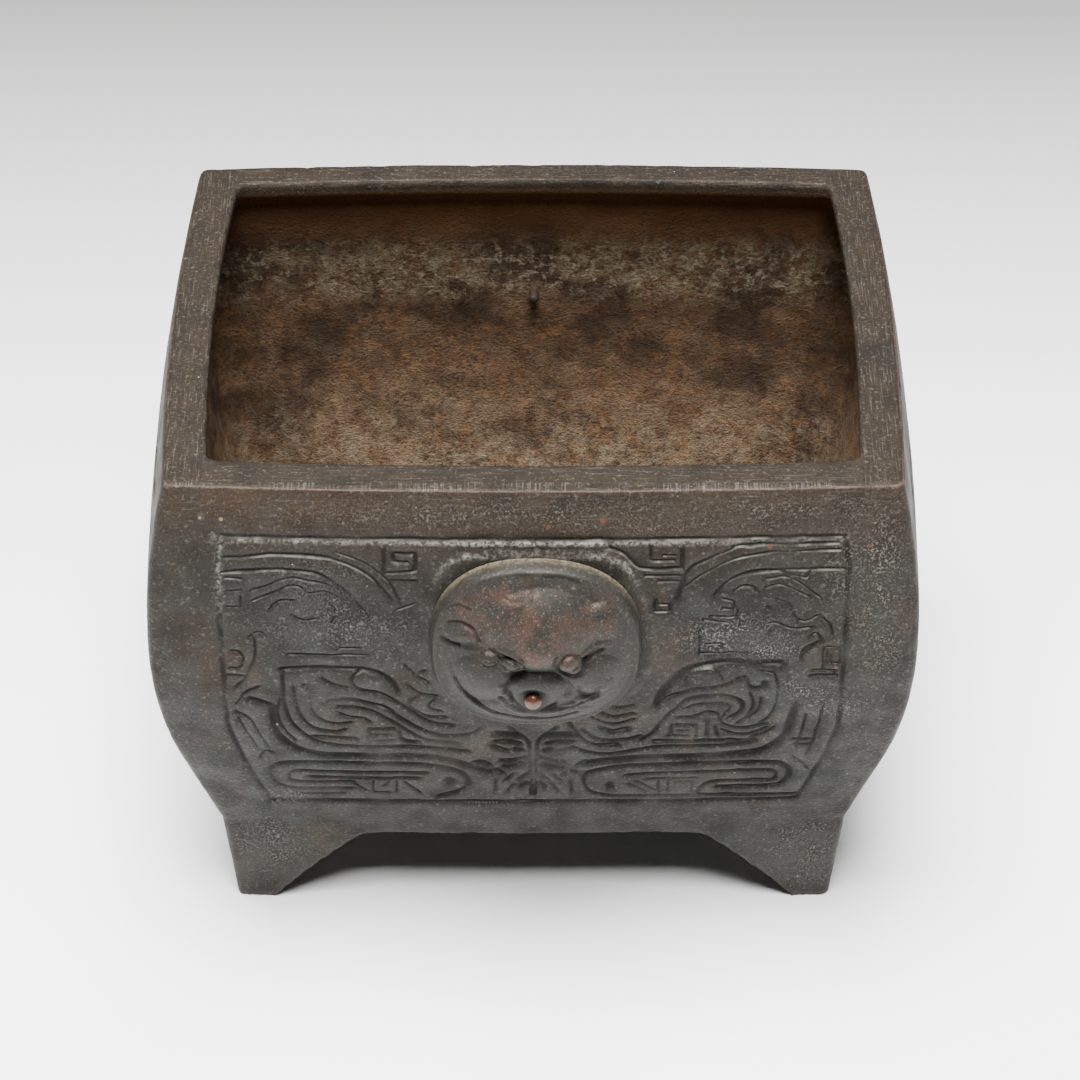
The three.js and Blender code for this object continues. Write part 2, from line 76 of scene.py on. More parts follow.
class BurnerSizes(PropertyGroup):
    """Sizes of the burner. Drops are measured down from the rim."""

    height: size("Height", "Ground to rim", BODY_HIGH[2] / MM)
    rim_width: size("Rim width", "Outer width at the rim", 150.0)
    rim_depth: size("Rim depth", "Outer depth at the rim", 117.4)
    swell: size("Swell", "How far the walls stand out past the rim", 4.9)
    swell_drop: size("Swell drop", "Drop of the widest part", 40.0)
    flank_drop: size("Flank drop", "Drop where the straight flank begins", 75.0)
    flank_slope: FloatProperty(name="Flank slope", description="Lean of the flank", default=0.294)
    body_drop: size("Body drop", "Drop of the underside", 101.7)
    bow: size("Wall bow", "How far a wall bulges in plan", 2.0)
    corner: size("Corner radius", "Rounding between two walls", 1.6)
    rim_side: size("Rim side", "Rim's breadth at the sides", 8.5)
    rim_front: size("Rim front", "Rim's breadth at the front", 8.8)
    rim_back: size("Rim back", "Rim's breadth at the back", 6.7)
    lip: size("Lip", "Height of the rim's inner lip", 3.5)
    undercut: size("Undercut", "Height of the slope under the lip", 4.0)
    wall: size("Wall", "Thickness of the walls", 5.0)
    floor: size("Floor", "Thickness of the bowl's floor", 5.5)
    fillet: size("Fillet", "Rounding round the bowl's floor", 9.0)
    foot_top: size("Foot top", "Breadth of a foot where it leaves the body", 35.0)
    foot_toe: size("Foot toe", "Breadth of a foot on the ground", 8.2)
    foot_taper: size("Foot taper", "How far a foot's outer face leans in", 2.3)
    foot_hollow: size("Foot hollow", "Hollow of a foot's inner edge", 1.2)
    panel_top: size("Panel top", "Drop of the panel's upper groove", 10.7)
    panel_bottom: size("Panel bottom", "Drop of the panel's lower groove", 88.0)
    panel_half: size("Panel half", "Half width of the front panel", 64.5)
    panel_edge: size("Panel edge", "Margin between the panel and the corner", 13.8)
    carving: FloatProperty(name="Carving depth", description="Depth of the carved lines", default=1.0)
    mask_width: size("Mask width", "Width of a mask", (MASK_HIGH[0] - MASK_LOW[0]) / MM)
    mask_height: size("Mask height", "Height of a mask", 40.0)
    mask_drop: size("Mask drop", "Drop of a mask's middle", 34.5)
    mask_edge: size("Mask edge", "Thickness of a mask's rim", 5.2)
    mask_dome: size("Mask dome", "Rise of a mask's face", 3.4)
    front_pin_drop: size("Front pin drop", "Drop of the front pin", 44.5)
    back_pin_drop: size("Back pin drop", "Drop of the back pin", 35.0)
    pin_diameter: size("Pin diameter", "Diameter of a pin's shank", 2.2)
    pin_head: size("Pin head", "Diameter of a pin's head", 3.8)
    pin_tail: size("Pin tail", "Length that stands inside the bowl", 3.5)
    gap: size("Gap", "Space between a mask and the wall", 0.3)


class BurnerColours(PropertyGroup):
    """Colours of the burner's finishes."""

    iron: colour("Iron", "Bare dark iron", 0.0205, 0.0185, 0.0150)
    iron_blue: colour("Cool iron", "Cooler grey iron", 0.0198, 0.0202, 0.0175)
    iron_brown: colour("Brown iron", "Browner iron near the rim", 0.031, 0.0215, 0.0138)
    # The dirt tone also serves as painted shade on the filed rim top
    dirt: colour("Dirt", "Dirt in the carving", 0.005, 0.0048, 0.0045)
    # The dust tone also serves as painted bounce light on the feet and as a painted highlight on the
    # carving's lower lips
    dust: colour("Dust", "Pale dust", 0.26, 0.25, 0.22)
    ledge_dust: colour("Ledge dust", "Beige dust on the mask's upper side", 0.11, 0.09, 0.058)
    rust: colour("Rust", "Brown rust inside", 0.064, 0.036, 0.02)
    rust_warm: colour("Warm rust", "Brighter rust inside", 0.13, 0.066, 0.029)
    rust_dark: colour("Dark rust", "Dark rust inside", 0.014, 0.009, 0.0062)
    cream: colour("Cream ash", "Palest ash on the inside", 0.21, 0.18, 0.125)
    ash: colour("Ash", "Pale ash on the inside", 0.15, 0.115, 0.075)
    ochre: colour("Ochre", "Ochre brown stains on the outside", 0.085, 0.05, 0.024)
    rim_edge: colour("Rim edge", "Worn pinkish edge of the rim", 0.19, 0.12, 0.095)
    brow: colour("Brow", "Red brown of the mask", 0.054, 0.030, 0.021)
    droplet: colour("Droplet", "Rust droplets on the front", 0.075, 0.03, 0.016)
    pin: colour("Pin", "Red rust of the pins", 0.085, 0.026, 0.012)


# Sizes that are no lengths
RATIOS = ("flank_slope", "carving")
# The feet begin this share of the floor's thickness above the underside
FOOT_START = 0.75
# Numbers of levels: down the body, where the feet begin, and down the feet
BODY_LEVELS = 120
START_LEVELS = 6
FOOT_LEVELS = 26


class Form:
    """The burner's sizes in millimetres."""

    def __init__(self, sizes):
        for name in BurnerSizes.__annotations__:
            value = getattr(sizes, name)
            setattr(self, name, value if name in RATIOS else value / MM)
        self.foot_drop = self.body_drop - self.floor * FOOT_START

    def body_swell(self, drop):
        below = drop - self.swell_drop
        flank = self.flank_drop - self.swell_drop
        curve = self.flank_slope / (2 * flank)
        upper = self.swell * (1 - (below / self.swell_drop) ** 2)
        bend = self.swell - curve * below ** 2
        straight = self.swell - curve * flank ** 2 - self.flank_slope * (below - flank)
        return np.where(below < 0, upper, np.where(below < flank, bend, straight))

    def foot_share(self, drop):
        return np.clip((drop - self.foot_drop) / (self.height - self.foot_drop), 0, 1)

    def edge_swell(self, drop):
        """Swell along the corners, where the walls run on into the feet."""
        foot = self.body_swell(self.foot_drop) - self.foot_taper * self.foot_share(drop)
        return np.where(drop < self.foot_drop, self.body_swell(drop), foot)

    def foot_inner(self, rim_half, drop):
        """Distance from a wall's middle to the inner edge of its feet."""
        share = self.foot_share(drop)
        breadth = self.foot_top + (self.foot_toe - self.foot_top) * share
        breadth = breadth - self.foot_hollow * 4 * share * (1 - share)
        return rim_half + self.edge_swell(drop) - breadth

    def bowed(self, x, y, half_x, half_y):
        along_x = np.maximum(0, 1 - (x / half_x) ** 2)
        along_y = np.maximum(0, 1 - (y / half_y) ** 2)
        return x + (x / half_x) * self.bow * along_y, y + (y / half_y) * self.bow * along_x

    def levels(self):
        """Drops of the places along a corner, from the rim to the ground."""
        return np.unique(np.concatenate([
            np.linspace(0, self.foot_drop, BODY_LEVELS),
            np.linspace(self.foot_drop, self.body_drop, START_LEVELS),
            self.foot_levels(),
        ]))

    def foot_levels(self):
        return np.linspace(self.body_drop, self.height, FOOT_LEVELS)


def smooth_step(low, high, value):
    share = np.clip((value - low) / (high - low), 0, 1)
    return share * share * (3 - 2 * share)


# Large odd numbers that scatter the places of a lattice, and the ranges that they are cut down to
SCATTER = (73856093, 19349663, 83492791)
SCATTER_SEED = 2654435761
SCATTER_AGAIN = 1274126177
WIDE_RANGE = 0x7FFFFFFF
NOISE_RANGE = 0xFFFF


def lattice_noise(points, scale, seed):
    """Smooth noise from -1 to 1 at points in space, the same on every run."""
    place = points / scale
    base = np.floor(place).astype(np.int64)
    part = place - base
    part = part * part * (3 - 2 * part)
    total = np.zeros(len(points))
    for corner in range(8):
        step = np.array([corner & 1, corner >> 1 & 1, corner >> 2 & 1])
        along_x, along_y, along_z = ((base + step) * SCATTER).T
        mixed = along_x ^ along_y ^ along_z ^ seed * SCATTER_SEED
        mixed = (mixed ^ mixed >> 13) * SCATTER_AGAIN & WIDE_RANGE
        mixed = (mixed ^ mixed >> 16) & NOISE_RANGE
        weight = np.prod(np.where(step == 1, part, 1 - part), axis=1)
        total += weight * (mixed / (NOISE_RANGE / 2) - 1)
    return total


def layered_noise(points, scale, seed, layers=3):
    total = np.zeros(len(points))
    strength = 1.0
    for layer in range(layers):
        total += strength * lattice_noise(points, scale / 2 ** layer, seed + layer)
        strength *= 0.5
    return total


# Carved lines
# Each line is a weight and points (across, drop) in millimetres on a wall, seen from outside.
# A weight is (width, depth).
FINE = (0.8, 0.42)
LINE = (1.1, 0.6)
DEEP = (1.5, 0.8)
BROAD = (2.1, 1.0)
FRAME = (1.3, 0.55)

RIGHT_CURVES = [
    (LINE, [(62, 12.3), (43.6, 12.3), (40, 13.4), (35.5, 15.5), (32, 17.7), (30.4, 21.8), (29.8, 24.6)]),
    (FINE, [(62.5, 13.9), (50, 14), (42.4, 15.2), (37.3, 17.2), (33.8, 19.5), (31, 22)]),
    (LINE, [(63.4, 18.2), (50, 18.3), (44.7, 18.6), (41.3, 19.8), (39, 21.5), (37.3, 23.8)]),
    (FINE, [(47.6, 22.3), (49.9, 21.5), (52.8, 22.6), (56.2, 24.6)]),
    (FINE, [(49.9, 25.2), (52.8, 26.3), (53.3, 27.8)]),
    (FINE, [(36.7, 29.2), (41.3, 29.5), (41.9, 28)]),
    (FINE, [(42.7, 31.5), (44.7, 30.4), (47.6, 31.5), (49.9, 31.2), (53.3, 32.7), (57.3, 32.4)]),
    (BROAD, [(25.8, 53.6), (27, 49.9), (28.1, 47.6), (29.8, 45.3), (32.1, 43.3), (35.6, 42.1),
             (39, 41.3), (43.6, 41.4), (51.2, 41.9)]),
    (LINE, [(27.5, 51.6), (30.4, 49.9), (33.8, 48.8), (37.3, 48.4), (40.1, 47.6), (43, 45.8),
            (44.4, 45.6), (45, 47.6), (45.9, 48.7), (48.7, 48.4)]),
    (LINE, [(30.4, 53.9), (32.1, 51.9), (35.6, 50.7), (39.6, 50.7), (42.4, 51.9), (43.9, 53.3),
            (43.6, 55.6), (41.3, 57.9)]),
    (FINE, [(31.8, 54.4), (34.4, 53.3), (37.3, 53), (40.1, 53.3), (41.3, 54.7), (40.1, 56.7),
            (39.6, 59), (42.4, 60.8), (45.9, 60.8), (48.7, 59.9)]),
    (FINE, [(39.6, 61.6), (42.4, 63), (45.9, 63), (49.3, 61)]),
    (FINE, [(47.6, 52.2), (47, 55.6), (45.3, 57.9)]),
    (LINE, [(8.9, 67.3), (11.5, 68.8), (15.5, 69.6), (20, 68.8), (25.8, 67.3), (34.4, 67),
            (40.1, 67), (45.9, 66.2)]),
    (BROAD, [(11.5, 73.1), (14.9, 72.2), (20, 71.4), (25.8, 71), (34.4, 71), (43, 70.2),
             (47.6, 69.4), (50.5, 67.6), (52.8, 64.8), (53.9, 61.3), (54.5, 57.3), (55.3, 53.9)]),
    (LINE, [(7.5, 58.5), (8.9, 61.3), (10.3, 64.2), (13.2, 66.2), (17.8, 66.2)]),
    (LINE, [(10.6, 61.3), (12.3, 63.3), (15.5, 64.8), (19.5, 64.5), (22.9, 63.3)]),
    (DEEP, [(14.3, 60.8), (16.6, 61.9), (19.5, 61)]),
    (DEEP, [(11.5, 76.8), (14.9, 75.4), (20, 74.2), (34.4, 73.5), (50.5, 73.6), (53.3, 74.8),
            (54.8, 76.8), (54.8, 79.4), (53.3, 82), (50.5, 82.8), (39.6, 82.8)]),
    (LINE, [(20, 77.7), (25.8, 77.1), (34.4, 76.8), (48.7, 76.5), (51.6, 77.4), (51.9, 79.1),
            (50.5, 80.5), (39.6, 80.4), (36.7, 82), (35.6, 84.3), (37.3, 85.7), (57.3, 86.3)]),
    (LINE, [(10.9, 78), (10.9, 80.8), (12, 83.7), (14.9, 85.1), (20, 85.7), (33.8, 85.7)]),
    (LINE, [(15.6, 12.5), (18.4, 13.8), (20.4, 15.8), (22.4, 17.4), (30.4, 17.5)]),
    (FINE, [(48, 20.2), (51, 19.8), (54, 21), (57, 23.4), (58.6, 24.8)]),
    (FINE, [(53.3, 27.8), (54, 29.8), (56, 30.9), (58.4, 29.6)]),
    (FINE, [(41.4, 22.9), (43, 21.8), (45, 22.1), (46.2, 23.2)]),
    (FINE, [(57, 34.9), (58.4, 33.9), (59.6, 35.4)]),
    (FINE, [(59.8, 30.4), (61.3, 32.2), (62, 34.8)]),
    (LINE, [(55.7, 40.4), (56.2, 38.2), (58.8, 36.5)]),
    (FINE, [(31.6, 46.4), (32.7, 43.8), (35.8, 42.7), (38.4, 43.6), (39.5, 46.2)]),
    (FINE, [(50, 44.2), (51, 48), (50.8, 53), (49.6, 57.2), (47.6, 59.6)]),
    (FINE, [(34, 56.8), (36.4, 55.6), (38.6, 56.2), (39, 58)]),
    (FINE, [(45.4, 50.4), (46, 53.8), (45, 57.2), (42.8, 59.4)]),
    (FINE, [(45.8, 64.4), (48.6, 63), (50.6, 61.2)]),
    (FINE, [(15, 52), (17.4, 53.8), (20.8, 53.2)]),
    (FINE, [(13.4, 54.6), (16.8, 56.4), (21, 55.8)]),
    (FINE, [(12.4, 57), (16.6, 58.9), (21.2, 57.8)]),
    (LINE, [(22.8, 64.8), (25.4, 62.2), (27.2, 58.6), (28.8, 56), (30.4, 54)]),
    (FINE, [(57.4, 57.4), (56.8, 62), (55.9, 67.6)]),
    (FINE, [(60.8, 53.6), (60.2, 60), (59.2, 66.4), (58, 71)]),
    (FINE, [(55.4, 72), (57.4, 74), (58.8, 76.6)]),
]
# Along the whole foot of the panel
PANEL_FOOT = [
    (DEEP, [(-57, 88.9), (-40, 88.5), (-20, 88.1), (0, 87.9), (20, 87.9), (44, 88)]),
]
RIGHT_ANGLES = [
    (LINE, [(30.4, 17.3), (30.4, 13.2)]),
    (FINE, [(24, 13.4), (24, 15.6), (28.6, 15.6)]),
    (FINE, [(23, 19.2), (30.4, 19.2)]),
    (FINE, [(26, 20.6), (30, 20.6)]),
    (FINE, [(25, 25.2), (24.7, 28), (28, 28), (28, 26.2), (26.4, 26.2)]),
    (FINE, [(50.7, 18.2), (56.8, 18.2), (55.9, 20.3), (50.7, 18.8)]),
    (FINE, [(39, 25), (41.3, 25.6), (41, 27.6), (39.2, 27.4)]),
    (FINE, [(35, 30), (40.1, 31)]),
    (FINE, [(47.9, 34.4), (49.3, 32.4)]),
    (FINE, [(34.4, 33), (34.4, 38.8), (45.3, 38.7)]),
    (FINE, [(47, 43.5), (49.9, 44.7)]),
    (LINE, [(29.2, 62.6), (29.2, 59.9), (34.4, 59.9), (34.4, 63.9)]),
    (LINE, [(36.7, 59), (36.7, 63.6)]),
    (FINE, [(28.7, 63.3), (32.7, 63.3)]),
    (FINE, [(30.4, 61.6), (32.7, 61.6)]),
    (LINE, [(25.8, 65.5), (36, 65.2), (47, 65.3)]),
    (FINE, [(60.2, 44.1), (60.2, 37.8), (63.6, 37.8), (63.6, 42.2), (61.8, 42.2), (61.8, 39.8)]),
    (LINE, [(57.9, 45.7), (63, 45.7)]),
    (FINE, [(56.5, 39), (58.5, 37.2)]),
    (FINE, [(55, 65.3), (59.6, 65.3)]),
    (FINE, [(55.4, 67), (59.2, 67)]),
    (FINE, [(24, 79.2), (35, 79)]),
    (FINE, [(21, 81.4), (24.4, 84.4)]),
    (FINE, [(22.6, 80.4), (26.2, 83.8)]),
    (FINE, [(29, 78.8), (29, 84)]),
    (FINE, [(26.8, 80), (26.8, 84.4)]),
    (FINE, [(30.6, 80.6), (34.2, 80.3), (34, 84)]),
    (FINE, [(58.2, 44.1), (62.6, 44.3)]),
    (FINE, [(61, 39), (61, 42)]),
    (FINE, [(35.8, 36.5), (38.6, 36.3)]),
    (FINE, [(30.4, 57.3), (33.4, 57.1)]),
    (LINE, [(38.4, 60.4), (38.8, 63.6)]),
    (FINE, [(24, 12.4), (24, 13.4)]),
    (FINE, [(26.6, 14.5), (28.6, 14.5)]),
]
# Pits and low domes: place, half width and half height, depth or rise
RIGHT_PITS = [
    ((16.5, 81.7), (1.4, 1.9), 0.9), ((48.2, 47.6), (1.2, 1.2), 0.7), ((48.5, 27), (0.9, 0.6), 0.5),
]
RIGHT_DOMES = [((36.7, 44.6), (3.0, 2.6), 0.4), ((16.5, 57.2), (4.5, 3.2), 0.3)]

LEFT_CURVES = [
    (LINE, [(-63, 15.7), (-57, 15.2), (-53, 14.6), (-46, 14.9), (-41, 15.5), (-36.7, 17.2),
            (-33.3, 19.5), (-31, 22.3), (-29, 25)]),
    (LINE, [(-63.7, 19.2), (-58.5, 18.6), (-50.5, 18.3), (-44.8, 18.9), (-41.3, 20.6),
            (-37.9, 23.5), (-36.2, 26.1), (-34.5, 28)]),
    (FINE, [(-58, 23.8), (-55, 22.3), (-49.9, 20.3), (-48, 20.3)]),
    (FINE, [(-57.4, 25.8), (-54.5, 24.3), (-50.5, 22.3), (-47.6, 22.3), (-45.9, 23.8),
            (-42.5, 23.2), (-40.2, 24.3)]),
    (FINE, [(-54.2, 27.8), (-52.2, 25.8), (-49.4, 25.5)]),
    (FINE, [(-58.5, 35), (-56.8, 33.8), (-55.7, 34)]),
    (DEEP, [(-52.2, 43.8), (-47, 43.1), (-38, 43.1), (-33.3, 43.8), (-29.9, 46.1), (-28.1, 49.3)]),
    (LINE, [(-35.6, 49.4), (-32.2, 50.1), (-28.7, 52.4), (-26.4, 54.4), (-24.1, 56.7),
            (-20.7, 59.3), (-17.2, 59.6)]),
    (LINE, [(-43.6, 52.7), (-40.8, 51.9), (-37.9, 51.9), (-34.4, 53), (-30.4, 55), (-27.6, 57.9),
            (-24.1, 60.8), (-20.7, 62.8), (-16.7, 63), (-13.2, 62.2), (-10.9, 60.2)]),
    (LINE, [(-40.8, 54.2), (-36.7, 54.4), (-33.3, 55.9), (-29.9, 58.5), (-27, 61.3),
            (-23.6, 64.2), (-20.1, 65.1), (-16.1, 65.3)]),
    (LINE, [(-52.2, 45.3), (-52.2, 51), (-51.7, 56.7), (-50.5, 60.2), (-48.2, 63.6),
            (-45.3, 65.9), (-41.3, 66.9), (-36.2, 67.1), (-26.4, 67.1), (-19.5, 67.5), (-13.8, 68.5)]),
    (LINE, [(-50, 49), (-49.4, 55), (-48, 59), (-45.6, 61.5), (-42, 62.2), (-39.5, 61.4)]),
    (FINE, [(-46.8, 51), (-46.4, 55.6), (-44.4, 58.6), (-41.2, 59.6), (-38.4, 59)]),
    (BROAD, [(-54.8, 54.6), (-54.5, 61.9), (-52.8, 65.9), (-49.9, 68.5), (-45.9, 70.2),
             (-41.3, 70.6), (-25.8, 70.6), (-20.1, 71.1), (-16.1, 72.8), (-12.7, 74.8), (-9.2, 76.5)]),
    (DEEP, [(-56, 76), (-54.5, 74.2), (-49.9, 73.5), (-38, 73.4), (-26.4, 73.5), (-20.1, 74.2),
            (-16.7, 75.7), (-14.4, 78), (-14.1, 81.4), (-16.1, 84), (-20.7, 86)]),
    (LINE, [(-38.6, 81), (-41.1, 80.8), (-51.1, 80.8), (-52.5, 79.1), (-51.1, 76.8), (-44, 76.8),
            (-23, 76.9)]),
    (LINE, [(-48.2, 79), (-36, 79), (-24.7, 79)]),
    (LINE, [(-56.4, 78), (-55.6, 81), (-53.6, 82.9), (-50, 83.4), (-39, 83.2)]),
    (FINE, [(-58.8, 43.6), (-60, 46.4), (-62, 48.7)]),
    (FINE, [(-62.3, 56.5), (-59.7, 58.5), (-58, 63), (-56.5, 67.6)]),
    (FINE, [(-24, 50.6), (-26, 53.4), (-22.6, 56.6), (-18.6, 57)]),
    (FINE, [(-20.6, 51.4), (-22, 53.6), (-19.4, 55)]),
    (FINE, [(-40, 14), (-36, 15.5), (-32, 18), (-29.2, 21.2), (-27.4, 25)]),
    (FINE, [(-46, 20.8), (-42, 21.5), (-39.4, 23.3), (-37.6, 25.8)]),
    (FINE, [(-49.4, 29.3), (-47.2, 30.6), (-44.6, 30.2)]),
    (FINE, [(-42, 25.6), (-40.4, 27.8), (-41.2, 30.4)]),
    (FINE, [(-62.8, 38.8), (-60.9, 39), (-60.1, 41), (-60.9, 43.4), (-63, 43.5)]),
    (FINE, [(-57.6, 35.4), (-57.6, 39.6), (-58.7, 43.4)]),
    (FINE, [(-57.6, 48.8), (-60.4, 50.8), (-62.2, 54)]),
    (FINE, [(-61.8, 58.8), (-60.5, 63), (-58.7, 68)]),
    (FINE, [(-58.2, 71.8), (-57, 69.6), (-55.8, 69.8)]),
    (LINE, [(-36.2, 43.9), (-37.7, 45.6), (-37.2, 48), (-35.2, 49.3)]),
    (LINE, [(-43.8, 46), (-42.4, 47.2), (-40.2, 48.3), (-38, 48.8)]),
    (FINE, [(-40.6, 56.4), (-38.6, 57.6), (-36.2, 57.6), (-34.2, 58.8)]),
    (LINE, [(-28.4, 61.6), (-28, 64.2), (-26.4, 65.2), (-24.2, 65.4)]),
    (FINE, [(-26.6, 42), (-24.6, 44.6), (-22, 46.4)]),
    (FINE, [(-26, 47.6), (-23.6, 50), (-20.4, 50.6)]),
    (FINE, [(-50, 85.4), (-40.6, 85.2)]),
    (FINE, [(-53, 52), (-53.6, 57), (-52.4, 62), (-50.4, 65.4)]),
]
LEFT_ANGLES = [
    (LINE, [(-30.4, 13.2), (-30.4, 18.6), (-24, 18.2), (-24, 14), (-28.5, 14), (-28.5, 16), (-25.5, 16)]),
    (FINE, [(-29, 20.4), (-24, 20.4)]),
    (FINE, [(-50.5, 39.4), (-34.4, 39.4)]),
    (FINE, [(-40, 37.6), (-36, 37.6)]),
    (FINE, [(-64, 45.6), (-60, 45.6)]),
    (DEEP, [(-59.1, 52.7), (-55.7, 53.9)]),
    (FINE, [(-63, 20.5), (-60, 20.5)]),
    (FINE, [(-63, 23.5), (-60, 23.5)]),
    (FINE, [(-63, 27.5), (-60, 27.5), (-60, 24.6)]),
    (FINE, [(-28, 27.5), (-24, 26)]),
    (LINE, [(-46.6, 64), (-37.4, 64.4)]),
    (LINE, [(-34.6, 61.2), (-29.4, 61)]),
    (LINE, [(-34.4, 63.2), (-30.4, 63)]),
    (LINE, [(-34.6, 61.2), (-34.6, 65)]),
    (FINE, [(-32.5, 65), (-29.4, 64.8)]),
    (FINE, [(-39.4, 80.6), (-36, 83.8)]),
    (FINE, [(-34.4, 80), (-34.4, 84.6), (-31.4, 84.6)]),
    (FINE, [(-29.4, 80), (-29.4, 84)]),
    (FINE, [(-27.4, 80.8), (-24.4, 84.4)]),
    (FINE, [(-32, 82), (-31, 80.4)]),
    (FINE, [(-23.2, 43.6), (-20.4, 42.4)]),
    (FINE, [(-20.6, 46.4), (-19, 45.4)]),
]
LEFT_PITS = [((-18.1, 80.5), (1.9, 2.1), 0.9), ((-47.6, 47.9), (0.9, 0.7), 0.7)]
LEFT_DOMES = [((-35, 46.4), (3.2, 2.9), 0.45), ((-18.4, 53.6), (4.5, 3.4), 0.3)]

# Crest in the middle of the side panels, right half
CREST = [
    (LINE, [(3, 15), (3, 30), (5, 36), (9, 39), (14, 39)]),
    (LINE, [(6, 15), (6, 28), (9, 33), (14, 35)]),
    (DEEP, [(3, 57), (3, 48), (5, 43), (10, 42)]),
]

# Palmette under the mask, right half
PALMETTE = [
    (LINE, [(4.8, 60.4), (1.4, 64.5), (0.8, 69), (0.6, 76)]),
    (BROAD, [(3.4, 63), (8, 62.6)]),
    (DEEP, [(2.9, 65.9), (5, 65.1), (8.1, 65.2)]),
    (DEEP, [(2.3, 68.2), (4, 67.8)]),
    (DEEP, [(5.6, 68.4), (8.6, 66.9)]),
    (DEEP, [(1.7, 70.6), (3.4, 71.6), (6.6, 72.2)]),
    (BROAD, [(2.3, 73.2), (4.2, 74.2), (6.3, 74.6)]),
    (DEEP, [(6.4, 77.2), (7.8, 75.8), (9.3, 76.5)]),
    (DEEP, [(9.2, 74), (10.8, 72.4), (12.8, 72.9)]),
    (DEEP, [(1.2, 77), (3, 79.4)]),
    (DEEP, [(1.4, 80.4), (2.6, 82.4)]),
    (LINE, [(4.4, 77.4), (6, 79.8)]),
    (LINE, [(4.2, 81.4), (5.4, 84.2)]),
    (LINE, [(8, 80), (8.2, 84)]),
    (FINE, [(0.5, 79), (0.5, 85)]),
]


def mirrored(lines):
    return [(weight, [(-across, drop) for across, drop in points]) for weight, points in lines]


SPLINE_STEPS = 12
FAR = 1e9
TINY = 1e-12


def spline(points, step):
    """Smooth line through points, as points about one step apart."""
    bare = np.array(points, float)
    if len(bare) == 2:
        path = bare
    else:
        padded = np.vstack([2 * bare[0] - bare[1], bare, 2 * bare[-1] - bare[-2]])
        share = np.linspace(0, 1, SPLINE_STEPS, endpoint=False)[:, None]
        pieces = []
        for a, b, c, d in zip(padded, padded[1:], padded[2:], padded[3:]):
            pieces.append(0.5 * (2 * b + (c - a) * share + (2 * a - 5 * b + 4 * c - d) * share ** 2
                                 + (3 * b - a - 3 * c + d) * share ** 3))
        path = np.vstack(pieces + [bare[-1:]])
    return evenly(path, step)


def evenly(path, step):
    path = np.array(path, float)
    runs = np.hypot(*np.diff(path, axis=0).T)
    along = np.concatenate([[0], np.cumsum(runs)])
    marks = np.linspace(0, along[-1], max(2, int(math.ceil(along[-1] / step)) + 1))
    return np.column_stack([np.interp(marks, along, path[:, 0]), np.interp(marks, along, path[:, 1])])


def angled(points, step):
    """Line with sharp bends, as points about one step apart."""
    runs = [evenly(pair, step) for pair in zip(points, points[1:])]
    return np.vstack([run[:-1] for run in runs] + [runs[-1][-1:]])


def distance_to(points, path):
    """Distance of each point to a line of short runs."""
    best = np.full(len(points), FAR)
    for start, end in zip(path, path[1:]):
        run = end - start
        share = np.clip(((points - start) @ run) / max(run @ run, TINY), 0, 1)
        gap = points - start - share[:, None] * run
        best = np.minimum(best, np.einsum("ij,ij->i", gap, gap))
    return np.sqrt(best)


def oval(across, up, place, half_wide, half_tall):
    """Falls from 1 in the middle of an oval to 0 at its edge."""
    return 1 - ((across - place[0]) / half_wide) ** 2 - ((up - place[1]) / half_tall) ** 2


LINE_STEP = 0.75
# Hand-cut lines wander a little, with noises of these seeds
WOBBLE = 0.17
WOBBLE_ACROSS = 2.6
WOBBLE_SEEDS = (81, 82)
# They are worn unevenly: the usual share of their depth, how far it varies, and its least and greatest
WEAR_ACROSS = 6.5
WEAR_SEED = 83
WEAR = (0.8, 0.42)
WEAR_RANGE = (0.35, 1.1)
# Where a line's edges and slopes lie, as shares of its width to each side of its bed
LINE_SPREAD = 0.62
SLOPE_SHARE = 0.3
# How round the sections of lines and pits are
LINE_ROUND = 1.1
PIT_ROUND = 0.8


